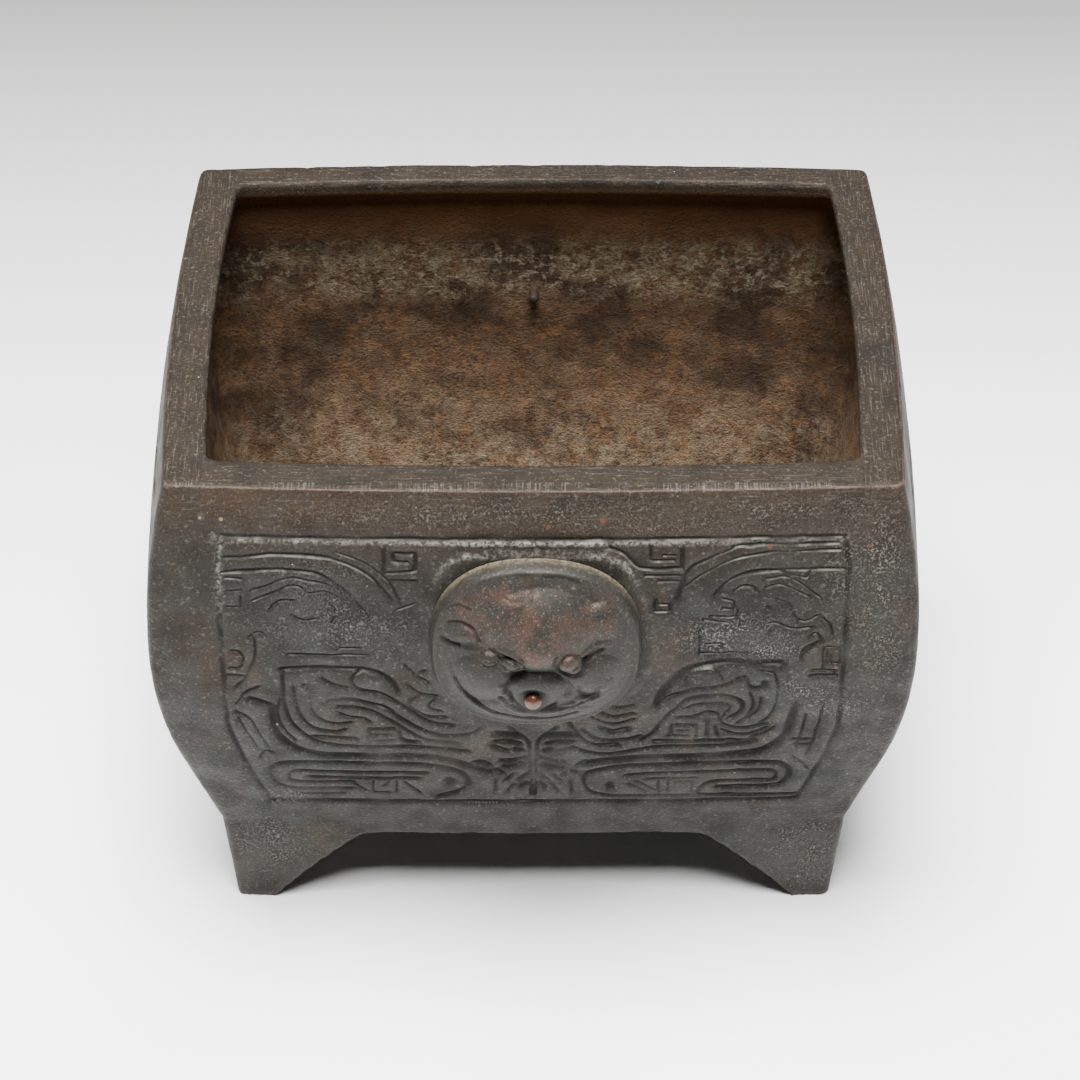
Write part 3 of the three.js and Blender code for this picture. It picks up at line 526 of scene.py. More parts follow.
class Carving:
    """The lines, pits and domes of one wall, and how deep each place is cut."""

    def __init__(self, curves, angles, pits=(), domes=(), outline=(), outline_weight=LINE):
        self.lines = [(weight, spline(points, LINE_STEP)) for weight, points in curves]
        self.lines += [(weight, angled(points, LINE_STEP)) for weight, points in angles]
        if len(outline):
            self.lines.append((outline_weight, angled(outline, LINE_STEP)))
        self.pits = pits
        self.domes = domes

    def cut(self, points):
        """Depth below the face, and the share of a full cut, at points of the wall."""
        flat = np.column_stack([points, np.zeros(len(points))])
        usual, change = WEAR
        wear = np.clip(usual + change * lattice_noise(flat, WEAR_ACROSS, WEAR_SEED), *WEAR_RANGE)
        wobble = [lattice_noise(flat, WOBBLE_ACROSS, seed) for seed in WOBBLE_SEEDS]
        points = points + WOBBLE * np.column_stack(wobble)
        depth = np.zeros(len(points))
        share = np.zeros(len(points))
        for (width, deep), path in self.lines:
            low = path.min(axis=0) - width
            high = path.max(axis=0) + width
            near = np.all((points > low) & (points < high), axis=1)
            if not near.any():
                continue
            across = distance_to(points[near], path) / (width * LINE_SPREAD)
            form = np.maximum(1 - across ** 2, 0) ** LINE_ROUND
            depth[near] = np.maximum(depth[near], deep * form * wear[near])
            share[near] = np.maximum(share[near], form * wear[near])
        for place, halves, deep in self.pits:
            form = np.maximum(oval(*points.T, place, *halves), 0) ** PIT_ROUND
            depth = np.maximum(depth, deep * form)
            share = np.maximum(share, form)
        for place, halves, high in self.domes:
            depth -= high * np.maximum(oval(*points.T, place, *halves), 0)
        return depth, share

    def near(self, points, margin):
        """Which points lie on a line, or within margin of its edge."""
        found = np.zeros(len(points), bool)
        for (width, _), path in self.lines:
            reach = width * LINE_SPREAD + margin
            open_points = np.flatnonzero(~found & np.all(
                (points > path.min(axis=0) - reach) & (points < path.max(axis=0) + reach), axis=1))
            found[open_points] = distance_to(points[open_points], path) < reach
        return found

    def rows(self):
        """Points along every line: its bed, then its slopes, then its edges."""
        beds, slopes, edges = [], [], []
        for (width, _), path in self.lines:
            along = np.gradient(path, axis=0)
            aside = np.column_stack([-along[:, 1], along[:, 0]])
            aside /= np.maximum(np.hypot(*aside.T), TINY)[:, None]
            beds.append(path)
            slopes += [path + side * SLOPE_SHARE * width * aside for side in (-1, 1)]
            edges += [path + side * LINE_SPREAD * width * aside for side in (-1, 1)]
        return beds + slopes + edges


# Meshes
CELLS_A_ROW = 1_000_003
# Rows of a triangular lattice lie this share of its spacing apart
ROW_SHARE = 0.87
# Distances within which places of a flat patch merge, those of patches are welded, and slivers go
MERGE = 1e-5
WELD = 0.01
SLIVER = 1e-4
SEAM_ROUNDS = 2


def thinned(points, spacing):
    """Leaves out points that crowd an earlier one."""
    cells = np.floor(points / spacing).astype(np.int64)
    _, first = np.unique(cells[:, 0] * CELLS_A_ROW + cells[:, 1], return_index=True)
    return points[np.sort(first)]


def lattice(low, high, spacing):
    """Points of a triangular lattice over a rectangle."""
    rows = np.arange(low[1], high[1], spacing * ROW_SHARE)
    points = []
    for number, level in enumerate(rows):
        across = np.arange(low[0] + spacing * 0.5 * (number % 2), high[0], spacing)
        points.append(np.column_stack([across, np.full(len(across), level)]))
    return np.vstack(points)


def filling(loop, spacing, share, middle=(0, 0)):
    """Lattice points inside a loop that is drawn in to a share of its size."""
    points = lattice(loop.min(axis=0), loop.max(axis=0), spacing)
    return points[inside_loop(points, middle + (loop - middle) * share)]


def inside_loop(points, loop):
    """Which points lie inside a closed loop."""
    found = np.zeros(len(points), bool)
    x, y = points.T
    for (x1, y1), (x2, y2) in zip(loop, np.roll(loop, -1, axis=0)):
        if y1 != y2:
            crosses = (y1 > y) != (y2 > y)
            found ^= crosses & (x < (x2 - x1) * (y - y1) / (y2 - y1) + x1)
    return found


def triangulated(loops, points):
    """Triangles between closed loops and through points: places, faces and which places are on a loop."""
    count = sum(len(loop) for loop in loops)
    edges, start = [], 0
    for loop in loops:
        edges += [(start + i, start + (i + 1) % len(loop)) for i in range(len(loop))]
        start += len(loop)
    everything = np.vstack([*loops, points])
    flat = [Vector(place) for place in everything.tolist()]
    places, _, faces, origins, _, _ = delaunay_2d_cdt(flat, edges, [], 0, MERGE, True)
    kept = np.array([everything[origin[0]] if origin else tuple(place)
                     for place, origin in zip(places, origins)])
    on_loop = np.array([bool(origin) and min(origin) < count for origin in origins])
    faces = np.array(faces)
    middles = kept[faces].mean(axis=1)
    wanted = inside_loop(middles, loops[0])
    for loop in loops[1:]:
        wanted &= ~inside_loop(middles, loop)
    return kept, faces[wanted], on_loop


def strip_faces(rows, columns, closed=False):
    """Four-sided faces of a grid of places, row by row."""
    across = np.arange(columns if closed else columns - 1)
    after = (across + 1) % columns
    starts = np.arange(rows - 1)[:, None] * columns
    corners = [starts + across, starts + after, starts + columns + after, starts + columns + across]
    return np.stack(corners, axis=-1).reshape(-1, 4)


TRACES = ("cut", "ledge", "inner", "filed", "sideways", "seam", "spot", "rusty", "brow")


class Shell:
    """Patches of one closed surface, in millimetres, with the traces that the finishes follow."""

    def __init__(self):
        self.places = []
        self.faces = []
        self.traces = {name: [] for name in TRACES}
        self.count = 0

    def add(self, places, faces, **traces):
        self.places.append(places)
        self.faces += (np.asarray(faces) + self.count).tolist()
        for name in TRACES:
            self.traces[name].append(np.broadcast_to(traces.get(name, 0.0), len(places)))
        self.count += len(places)

    def mesh(self, name):
        """One welded mesh, its faces turned outwards."""
        mesh = bpy.data.meshes.new(name)
        mesh.from_pydata(np.vstack(self.places).tolist(), [], self.faces)
        for trace in TRACES:
            layer = mesh.attributes.new(trace, "FLOAT", "POINT")
            layer.data.foreach_set("value", np.concatenate(self.traces[trace]).astype(np.float32))
        welded = bmesh.new()
        welded.from_mesh(mesh)
        bmesh.ops.remove_doubles(welded, verts=welded.verts, dist=WELD)
        bmesh.ops.dissolve_degenerate(welded, edges=welded.edges, dist=SLIVER)
        bmesh.ops.recalc_face_normals(welded, faces=welded.faces)
        welded.to_mesh(mesh)
        welded.free()
        mesh.update()
        return mesh


def trace_of(mesh, name):
    values = np.empty(len(mesh.vertices), np.float32)
    mesh.attributes[name].data.foreach_get("value", values)
    return values


def places_of(mesh):
    places = np.empty(len(mesh.vertices) * 3, np.float32)
    mesh.vertices.foreach_get("co", places)
    return places.reshape(-1, 3).astype(float)


def set_places(mesh, places):
    mesh.vertices.foreach_set("co", places.astype(np.float32).ravel())
    mesh.update()


def normals_of(mesh):
    normals = np.empty(len(mesh.vertices) * 3, np.float32)
    mesh.vertex_normals.foreach_get("vector", normals)
    return normals.reshape(-1, 3).astype(float)


def spread(mesh, values, rounds):
    """Each value pulled towards the mean of its neighbours, a number of times."""
    ends = np.empty(len(mesh.edges) * 2, np.int32)
    mesh.edges.foreach_get("vertices", ends)
    first, second = ends.reshape(-1, 2).T
    count = np.bincount(first, minlength=len(values)) + np.bincount(second, minlength=len(values))
    values = np.array(values, float)
    for _ in range(rounds):
        total = np.zeros_like(values)
        np.add.at(total, first, values[second])
        np.add.at(total, second, values[first])
        shares = count if values.ndim == 1 else count[:, None]
        values = 0.5 * values + 0.5 * total / np.maximum(shares, 1)
    return values


def round_seams(mesh):
    """Softens the crisp edges where patches meet."""
    seam = trace_of(mesh, "seam")[:, None] > 0.5
    places = places_of(mesh)
    for _ in range(SEAM_ROUNDS):
        places = np.where(seam, spread(mesh, places, 1), places)
    set_places(mesh, places)


# Walls
# Spacing of the mesh on the front wall and on the others, and how much coarser it is round a panel
FRONT_SPACING = 1.05
PLAIN_SPACING = 1.7
COARSER = 1.5
TOP_SPACING = 1.2
UNDER_SPACING = 1.5
TOE_MARKS = 9
# A row of places runs this far inside a wall's edge, and other places keep further off
BORDER = 0.6
BORDER_MARGIN = 0.45
LOOSE_MARGIN = 0.7
LINE_MARGIN = 1.0
LINE_CLEARANCE = 0.4
LEAST_SPACING = 0.24
NORMAL_STEP = 0.2
# Breadth over which a foot's taper runs into the wall above the arch
FOOT_BLEND = 5
CORNER_STEPS = 5
FOOT_STEPS = 12
FOOT_BEND_STEPS = 6
FOOT_ROUND = 2.5
FOOT_ROUND_SHARE = 0.4
LIP_ROUND = 2.2
# Pale dust under the panel's upper groove: drop below the groove, and breadth
LEDGE_DUST = (0.9, 0.48)
# Its least share, what the middle has more and how broad that is, and what the left has more, with where
# that starts and where it is full
LEDGE_MIDDLE = (0.32, 0.68, 26)
LEDGE_LEFT = (0.25, 30, 45)
# Dust along the left groove: distance inwards, breadth, strength, and the drops between which it starts
SIDE_DUST = (0.2, 0.55, 0.55)
SIDE_DUST_DROPS = (44, 14)

# Pale mottled places of the front: across, drop, half width, half height, strength
MOTTLES = [
    (40, 34, 10, 4.5, 0.8), (49, 38.5, 5, 2.2, 1.0), (57, 49, 5, 3, 0.7), (62, 55, 5, 2.2, 0.9),
    (66, 57, 2.5, 2.5, 0.9), (-54, 87, 5, 2.5, 0.8), (-58, 104, 8, 8, 0.7), (58, 104, 8, 6, 0.7),
    (61, 115, 6, 5, 0.5), (69, 18, 7, 12, 0.7), (72, 36, 4, 12, 0.45), (44, 4, 20, 2, 0.5),
    (-10, 5, 30, 3, 0.45), (-45, 23, 8, 6, 0.5), (-40, 33, 14, 4, 0.4), (30, 8, 24, 1.6, 0.3),
]
# Rusty places of the front, in the same way
RUSTS = [
    (-52, 3.5, 24, 3.2, 0.9), (-64, 1.2, 12, 1.4, 1.0), (6, 7.5, 26, 2.6, 0.7), (-13.4, 67, 1.2, 1.8, 1.0),
    (26.5, 21, 1.6, 7, 0.8), (30.5, 17, 2.5, 2.5, 0.5), (-20, 14.4, 4, 1.0, 0.6), (22, 26, 1.5, 5, 0.5),
    (-68, 40, 8, 16, 0.5), (-30, 48, 16, 8, 0.35), (40, 10, 16, 1.2, 0.5), (69, 30, 6, 20, 0.35),
    (60, 40, 4, 6, 0.4), (-38, 62, 14, 5, 0.3),
]


def patches(across, up, places):
    """Sum of soft oval patches: place, half width, half height and strength of each."""
    total = np.zeros(len(across))
    for x, y, half_x, half_y, strength in places:
        total += strength * np.exp(-((across - x) / half_x) ** 2 - ((up - y) / half_y) ** 2)
    return total


class Wall:
    """One outer wall, a number of quarter turns from the front one."""

    def __init__(self, form, turn):
        self.form = form
        self.turn = turn
        self.carving = None
        halves = (form.rim_width / 2, form.rim_depth / 2)
        self.rim_half = halves[turn % 2]
        self.rim_reach = halves[1 - turn % 2]

    def half(self, drop):
        return self.rim_half + self.form.edge_swell(drop)

    def edge(self, drop):
        return self.half(drop) - self.form.corner

    def inner(self, drop):
        return self.form.foot_inner(self.rim_half, drop)

    def turned(self, x, y, drop):
        for _ in range(self.turn):
            x, y = -y, x
        return np.column_stack([x, y, self.form.height - drop])

    def face(self, across, drop):
        """Place on the plain wall, across to the right as seen from outside."""
        form = self.form
        body = form.body_swell(drop)
        inner = self.inner(drop)
        foot = smooth_step(inner - FOOT_BLEND, inner, np.abs(across)) * (drop > form.foot_drop)
        reach = self.rim_reach + body + (form.edge_swell(drop) - body) * foot
        bow = form.bow * (1 - (across / self.half(drop)) ** 2)
        return self.turned(across, -(reach + bow), drop)

    def normal(self, across, drop):
        step = NORMAL_STEP
        aside = self.face(across + step, drop) - self.face(across - step, drop)
        down = self.face(across, drop + step) - self.face(across, drop - step)
        normal = np.cross(down, aside)
        return normal / np.linalg.norm(normal, axis=1)[:, None]

    def loop(self):
        """Outline of the wall and of its two feet, as points (across, drop)."""
        form = self.form
        levels = form.levels()
        foot = form.foot_levels()
        top = self.top_marks()
        toe = self.toe_marks()
        under = self.under_marks()
        right = [
            np.column_stack([self.edge(levels[1:]), levels[1:]]),
            np.column_stack([toe[::-1][1:], np.full(len(toe) - 1, form.height)]),
            np.column_stack([self.inner(foot[::-1][1:]), foot[::-1][1:]]),
        ]
        left = [np.flip(part, axis=0) * (-1, 1) for part in reversed(right)]
        return np.vstack([
            np.column_stack([top, np.zeros(len(top))]), *right,
            np.column_stack([under[::-1][1:-1], np.full(len(under) - 2, form.body_drop)]),
            *left,
        ])

    def top_marks(self):
        reach = self.edge(0.0)
        return np.linspace(-reach, reach, int(2 * reach / TOP_SPACING))

    def toe_marks(self):
        return np.linspace(self.inner(self.form.height), self.edge(self.form.height), TOE_MARKS)

    def under_marks(self):
        reach = self.inner(self.form.body_drop)
        return np.linspace(-reach, reach, int(2 * reach / UNDER_SPACING))

    def within(self, points, margin):
        """Which points lie on the wall, at least a margin from its outline."""
        form = self.form
        across, drop = np.abs(points[:, 0]), points[:, 1]
        below = drop >= form.body_drop - margin
        on_body = (drop > margin) & ~below
        on_foot = (across > self.inner(drop) + margin) & (drop < form.height - margin) & below
        return (across < self.edge(drop) - margin) & (on_body | on_foot)

    def points(self):
        """Points of the wall's mesh: along the lines, in the panel, and coarser outside it."""
        form = self.form
        spacing = FRONT_SPACING if self.turn == 0 else PLAIN_SPACING
        rows = [row[self.within(row, LINE_MARGIN)] for row in self.carving.rows()]
        reach = self.rim_half + form.swell
        panel = lattice((-reach, form.panel_top), (reach, form.panel_bottom), spacing)
        field = lattice((-reach, 0), (reach, form.height), spacing * COARSER)
        in_panel = np.abs(panel[:, 0]) < panel_edge(self, panel[:, 1])
        beside = np.abs(field[:, 0]) >= panel_edge(self, field[:, 1])
        off_panel = beside | (field[:, 1] < form.panel_top) | (field[:, 1] > form.panel_bottom)
        loose = np.vstack([panel[in_panel], field[off_panel]])
        loose = loose[self.within(loose, LOOSE_MARGIN)]
        loose = loose[~self.carving.near(loose, LINE_CLEARANCE)]
        levels = form.levels()[1:-1]
        border = [np.column_stack([side * (self.edge(levels) - BORDER), levels]) for side in (-1, 1)]
        top = self.top_marks()
        border.append(np.column_stack([top, np.full(len(top), BORDER)]))
        border = np.vstack(border)
        border = border[self.within(border, BORDER_MARGIN)]
        return thinned(np.vstack([*rows, border, loose]), LEAST_SPACING)

    def build(self, shell, mounted):
        """Adds the wall and the corner to its right."""
        places, faces, on_loop = triangulated([self.loop()], self.points())
        across, drop = places.T
        depth, share = self.carving.cut(places)
        clear, pad, dusty = mounted.clearing(across, drop) if mounted else (1.0, 0.0, 0.0)
        depth = depth * clear * self.form.carving
        lift = np.where(on_loop, 0, pad - depth)[:, None]
        lifted = self.face(across, drop) + self.normal(across, drop) * lift
        shell.add(
            lifted, faces, cut=share * clear, seam=on_loop, sideways=self.turn % 2,
            ledge=np.maximum(self.ledges(across, drop), dusty),
            spot=self.spots(across, drop, MOTTLES), rusty=self.spots(across, drop, RUSTS),
        )
        self.build_corner(shell)
        self.build_foot(shell)

    def ledges(self, across, drop):
        """Where pale dust lies: under the panel's upper groove, and along the top of its left one."""
        top = self.form.panel_top
        edge = panel_edge(self, drop)
        below, breadth = LEDGE_DUST
        ledge = np.exp(-((drop - top - below) / breadth) ** 2)
        least, middle, broad = LEDGE_MIDDLE
        left, start, full = LEDGE_LEFT
        share = least + middle * np.exp(-(across / broad) ** 2) + left * smooth_step(start, full, -across)
        upper = ledge * share * (np.abs(across) < edge + 1)
        inward, breadth, strength = SIDE_DUST
        side = np.exp(-((across + edge - inward) / breadth) ** 2) * smooth_step(*SIDE_DUST_DROPS, drop)
        return np.maximum(upper, strength * side * (drop > top))

    def spots(self, across, drop, places):
        """Mottled or rusty places, which only the front wall has."""
        return patches(across, drop, places if self.turn == 0 else ())

    def corner(self, angle, drop):
        """The rounded corner to the right of the wall: distances across, and places."""
        form = self.form
        half = self.half(drop)
        reach = self.rim_reach + form.edge_swell(drop)
        x = half - form.corner + form.corner * np.sin(angle)
        y = -(reach - form.corner) - form.corner * np.cos(angle)
        return x, self.turned(*form.bowed(x, y, half, reach), drop)

    def build_corner(self, shell):
        levels = self.form.levels()
        angles = np.linspace(0, math.pi / 2, CORNER_STEPS + 1)
        angle, drop = (grid.ravel() for grid in np.meshgrid(angles, levels))
        across, places = self.corner(angle, drop)
        seam = (drop == 0) | (drop == self.form.height)
        shell.add(places, strip_faces(len(levels), len(angles)), seam=seam, sideways=self.turn % 2,
                  spot=self.spots(across, drop, MOTTLES))

    def foot_path(self, drop):
        """Plan of a foot's inner faces at a drop: from this wall to the next one."""
        form = self.form
        swell = float(form.edge_swell(drop))
        here, there = float(self.inner(drop)), float(form.foot_inner(self.rim_reach, drop))
        half, reach = self.rim_half + swell, self.rim_reach + swell
        start = np.array([here, -(reach + form.bow * (1 - (here / half) ** 2))])
        end = np.array([half + form.bow * (1 - (there / reach) ** 2), -there])
        bend = np.array([start[0], end[1]])
        room = min(abs(bend[1] - start[1]), abs(end[0] - bend[0]))
        round_off = min(FOOT_ROUND, FOOT_ROUND_SHARE * room)
        into = bend + (0, -round_off)
        away = bend + (round_off, 0)
        share = np.linspace(0, 1, FOOT_STEPS + 1)[:, None]
        turn = np.linspace(0, 1, FOOT_BEND_STEPS)[1:-1, None]
        curve = into * (1 - turn) ** 2 + bend * 2 * turn * (1 - turn) + away * turn ** 2
        return np.vstack([start + (into - start) * share, curve, away + (end - away) * share])

    def build_foot(self, shell):
        levels = self.form.foot_levels()
        rows = [self.foot_path(drop) for drop in levels]
        count = len(rows[0])
        plan = np.vstack(rows)
        places = self.turned(plan[:, 0], plan[:, 1], np.repeat(levels, count))
        seam = np.zeros((len(levels), count))
        seam[[0, -1]] = 1
        seam[:, [0, -1]] = 1
        shell.add(places, strip_faces(len(levels), count), seam=seam.ravel(), sideways=self.turn % 2)


def panel_edge(wall, drop):
    """Half width of a wall's panel."""
    form = wall.form
    upright = wall.rim_half - form.rim_width / 2 + form.panel_half
    return np.minimum(upright, wall.half(drop) - form.panel_edge)


PANEL_LEVELS = 24


def panel_outline(wall):
    drops = np.linspace(wall.form.panel_top, wall.form.panel_bottom, PANEL_LEVELS)
    edge = panel_edge(wall, drops)
    right = np.column_stack([edge, drops])
    left = np.flip(right, axis=0) * (-1, 1)
    return [tuple(place) for place in np.vstack([right, left, right[:1]])]


def carved_front(wall):
    return Carving(
        RIGHT_CURVES + PANEL_FOOT + LEFT_CURVES + PALMETTE + mirrored(PALMETTE),
        RIGHT_ANGLES + LEFT_ANGLES, RIGHT_PITS + LEFT_PITS, RIGHT_DOMES + LEFT_DOMES,
        panel_outline(wall), FRAME,
    )


def carved_plain(wall):
    """The front's right half, plainer and mirrored, fitted to the width of another wall."""
    form = wall.form
    squeeze = float(panel_edge(wall, form.panel_top)) / form.panel_half
    lines = [line for line in RIGHT_CURVES + PANEL_FOOT + PALMETTE if line[0] != FINE]
    if wall.turn % 2:
        lines += CREST
    curves = [(weight, [(across * squeeze, drop) for across, drop in points]) for weight, points in lines]
    return Carving(curves + mirrored(curves), [], outline=panel_outline(wall), outline_weight=FRAME)


# Body
# Spacing of the mesh on the flat patches, and the share of their loops that it keeps to
TOE_SPACING = 1.2
TOE_SHARE = 0.85
BASE_SPACING = 3.0
BASE_SHARE = 0.985
RIM_SPACING = 1.3
RIM_SHARES = (0.988, 1.028)
RIM_LEAST_SPACING = 0.4
FLOOR_SPACING = 2.2
FLOOR_SHARE = 0.975
# Rows of places beside the rim's outer edge and beside its lip
RIM_ROW = 0.993
LIP_ROWS = (1.008, 1.019)
BOWL_LONG_STEPS = 84
BOWL_SHORT_STEPS = 64
BOWL_CORNER_STEPS = 6
BOWL_LEVELS = 40
FILLET_LEVELS = 9
LIP_LEVELS = 4
UNDERCUT_SHARES = (0.25, 0.5, 0.75, 1.0)
BOWL_ROUND = 5.0
# Uneven casting outside and scale inside: height, breadth, seed and layers of each noise
CAST = ((0.09, 14, 3, 3), (0.035, 2.6, 9, 2))
SCALE = ((0.30, 8, 21, 3), (0.14, 2.8, 27, 2))
# Filed places are this much smoother
FILED_SHARE = 0.5
# Chips along worn edges: breadth, seed and layers of their noise, where they start, and how deep they go
CHIPS = (3.4, 41, 2)
CHIP_START = 0.42
CHIP_DEPTH = 1.1
WORN_ROUNDS = 2
# The lip stays unchipped as far out as this, and the soles flat
LIP_KEPT = 4
SOLE = 0.4
# The scale fades towards the lip between these drops
SCALE_FADE = (12, 5.5)


def heaped(places, noises):
    """Sum of noises: height, breadth, seed and layers of each."""
    return sum(high * layered_noise(places, *noise) for high, *noise in noises)


class Body:
    """The burner's body: walls, corners, feet, rim, bowl and underside."""

    def __init__(self, form, mounted):
        self.form = form
        self.walls = [Wall(form, turn) for turn in range(4)]
        for wall in self.walls:
            wall.carving = carved_front(wall) if wall.turn == 0 else carved_plain(wall)
        self.mounted = mounted

    def build(self, name):
        shell = Shell()
        for wall in self.walls:
            wall.build(shell, self.mounted.get(wall.turn))
            self.build_toe(shell, wall)
        self.build_under(shell)
        self.build_rim(shell)
        self.build_bowl(shell)
        mesh = shell.mesh(name)
        round_seams(mesh)
        self.weather(mesh)
        return mesh

    def plan_of(self, wall, drop, marks):
        """Plan of one wall's edge and of the corner that follows it."""
        along = wall.face(marks, np.full(len(marks), drop))[:, :2]
        angles = np.linspace(0, math.pi / 2, CORNER_STEPS + 1)[1:-1]
        _, places = wall.corner(angles, np.full(len(angles), drop))
        return along, places[:, :2]

    def flat(self, shell, loops, points, drop, **traces):
        places, faces, on_loop = triangulated(loops, points)
        level = np.full(len(places), self.form.height - drop)
        shell.add(np.column_stack([places, level]), faces, seam=on_loop, **traces)

    def build_toe(self, shell, wall):
        drop = self.form.height
        after = self.walls[(wall.turn + 1) % 4]
        along, corner = self.plan_of(wall, drop, wall.toe_marks())
        marks = -after.toe_marks()[::-1]
        onward = after.face(marks, np.full(len(marks), drop))[:, :2]
        path = wall.foot_path(drop)
        inside = wall.turned(path[:, 0], path[:, 1], np.full(len(path), drop))[:, :2]
        loop = np.vstack([along, corner, onward, inside[::-1][1:-1]])
        self.flat(shell, [loop], filling(loop, TOE_SPACING, TOE_SHARE, loop.mean(axis=0)), drop)

    def build_under(self, shell):
        drop = self.form.body_drop
        parts = []
        for wall in self.walls:
            marks = wall.under_marks()
            parts.append(wall.face(marks, np.full(len(marks), drop))[:-1, :2])
            path = wall.foot_path(drop)
            parts.append(wall.turned(path[:, 0], path[:, 1], np.full(len(path), drop))[:-1, :2])
        loop = np.vstack(parts)
        self.flat(shell, [loop], filling(loop, BASE_SPACING, BASE_SHARE), drop)

    def build_rim(self, shell):
        parts = []
        for wall in self.walls:
            parts += self.plan_of(wall, 0.0, wall.top_marks())
        outer = np.vstack(parts)
        inner = self.bowl_ring(*self.lip(), 0.0)[:, :2]
        lip_x, _, _, shift = self.lip()
        middle = np.array([0, shift])
        outer_share, inner_share = RIM_SHARES
        points = filling(outer, RIM_SPACING, outer_share)
        points = points[~inside_loop(points, (inner - middle) * inner_share + middle)]
        rows = [outer * RIM_ROW] + [(inner - middle) * grown + middle for grown in LIP_ROWS]
        points = thinned(np.vstack([*rows, points]), RIM_LEAST_SPACING)
        places, faces, on_loop = triangulated([outer, inner], points)
        sideways = np.abs(places[:, 0]) > lip_x
        level = np.full(len(places), self.form.height)
        shell.add(np.column_stack([places, level]), faces, seam=on_loop, filed=1.0, sideways=sideways)

    def lip(self):
        """The opening at the rim: half width, half depth, corner radius and shift to the back."""
        form = self.form
        half_y = form.rim_depth / 2 - (form.rim_front + form.rim_back) / 2
        return form.rim_width / 2 - form.rim_side, half_y, LIP_ROUND, (form.rim_front - form.rim_back) / 2

    def bowl_ring(self, half_x, half_y, radius, shift, drop):
        """One level of the bowl's inside, as a bowed rectangle with round corners."""
        form = self.form
        places = []
        for turn in range(4):
            half, reach = (half_x, half_y) if turn % 2 == 0 else (half_y, half_x)
            steps = BOWL_LONG_STEPS if turn % 2 == 0 else BOWL_SHORT_STEPS
            along = np.linspace(-(half - radius), half - radius, steps + 1)
            angles = np.linspace(0, math.pi / 2, BOWL_CORNER_STEPS + 1)[1:-1]
            x = np.concatenate([along, half - radius + radius * np.sin(angles)])
            y = np.concatenate([np.full(len(along), -reach), -(reach - radius) - radius * np.cos(angles)])
            x, y = form.bowed(x, y, half, reach)
            for _ in range(turn):
                x, y = -y, x
            places.append(np.column_stack([x, y + shift]))
        plan = np.vstack(places)
        return np.column_stack([plan, np.full(len(plan), form.height - drop)])

    def inside(self, drop, pull):
        """Half width and half depth at a drop, pulled in from the walls' outside."""
        swell = float(self.form.body_swell(drop)) - pull
        return self.form.rim_width / 2 + swell, self.form.rim_depth / 2 + swell

    def build_bowl(self, shell):
        form = self.form
        half_x, half_y, _, shift = self.lip()
        floor_drop = form.body_drop - form.floor
        wall_top = form.lip + form.undercut
        fillet_top = floor_drop - form.fillet
        rings = [self.bowl_ring(half_x, half_y, LIP_ROUND, shift, drop)
                 for drop in np.linspace(0, form.lip, LIP_LEVELS)]
        wide_x, wide_y = self.inside(wall_top, form.wall)
        for share in UNDERCUT_SHARES:
            rings.append(self.bowl_ring(
                half_x + (wide_x - half_x) * share, half_y + (wide_y - half_y) * share,
                LIP_ROUND + (BOWL_ROUND - LIP_ROUND) * share, shift * (1 - share),
                form.lip + form.undercut * share))
        for drop in np.linspace(wall_top, fillet_top, BOWL_LEVELS)[1:]:
            rings.append(self.bowl_ring(*self.inside(drop, form.wall), BOWL_ROUND, 0, drop))
        for angle in np.linspace(0, math.pi / 2, FILLET_LEVELS)[1:]:
            drop = fillet_top + form.fillet * math.sin(angle)
            pull = form.wall + form.fillet * (1 - math.cos(angle))
            rings.append(self.bowl_ring(*self.inside(drop, pull), BOWL_ROUND, 0, drop))
        count = len(rings[0])
        seam = np.zeros((len(rings), count))
        seam[[0, LIP_LEVELS - 1]] = 1
        shell.add(np.vstack(rings), strip_faces(len(rings), count, True), seam=seam.ravel(), inner=1.0)
        loop = rings[-1][:, :2]
        places, faces, _ = triangulated([loop], filling(loop, FLOOR_SPACING, FLOOR_SHARE))
        level = np.full(len(places), form.height - floor_drop)
        shell.add(np.column_stack([places, level]), faces, inner=1.0)

    def weather(self, mesh):
        """Uneven casting, pitted bowl and chipped edges."""
        places = places_of(mesh)
        normals = normals_of(mesh)
        inner = trace_of(mesh, "inner")
        filed = trace_of(mesh, "filed")
        worn = spread(mesh, trace_of(mesh, "seam"), WORN_ROUNDS)
        start, full = SCALE_FADE
        near_lip = smooth_step(self.form.height - start, self.form.height - full, places[:, 2])
        scaled = heaped(places, SCALE) * (1 - near_lip)
        lift = np.where(inner > 0.5, scaled, heaped(places, CAST) * (1 - FILED_SHARE * filed))
        chips = np.maximum(0, layered_noise(places, *CHIPS) - CHIP_START) * CHIP_DEPTH
        lip_x, lip_y, _, shift = self.lip()
        off_lip = np.abs(places[:, 0]) > lip_x + LIP_KEPT
        off_lip |= np.abs(places[:, 1] - shift) > lip_y + LIP_KEPT
        off_lip |= places[:, 2] < self.form.height - LIP_KEPT / 2
        worn = worn * off_lip * (inner < 0.5)
        lift -= chips * worn
        lift[places[:, 2] < SOLE] = 0
        set_places(mesh, places + normals * lift[:, None])
        layer = mesh.attributes.new("worn", "FLOAT", "POINT")
        layer.data.foreach_set("value", worn.astype(np.float32))


# Masks
# Places are (across, up) in millimetres from a mask's middle.
SQUARENESS = 2.35
# The mask is this much wider on its right
RIGHT_REACH = 1.06
# Share of the outline where the domed face ends and the flange begins
FLANGE = 0.9
DOME_SHARE = 0.9
DOME_ROUND = 2.2
FADE_ROUND = 6
GROOVE_FADE = (1.02, 0.93)
# Grain of the casting: height, breadth, seed and layers
MASK_GRAIN = (0.10, 3.2, 61, 2)
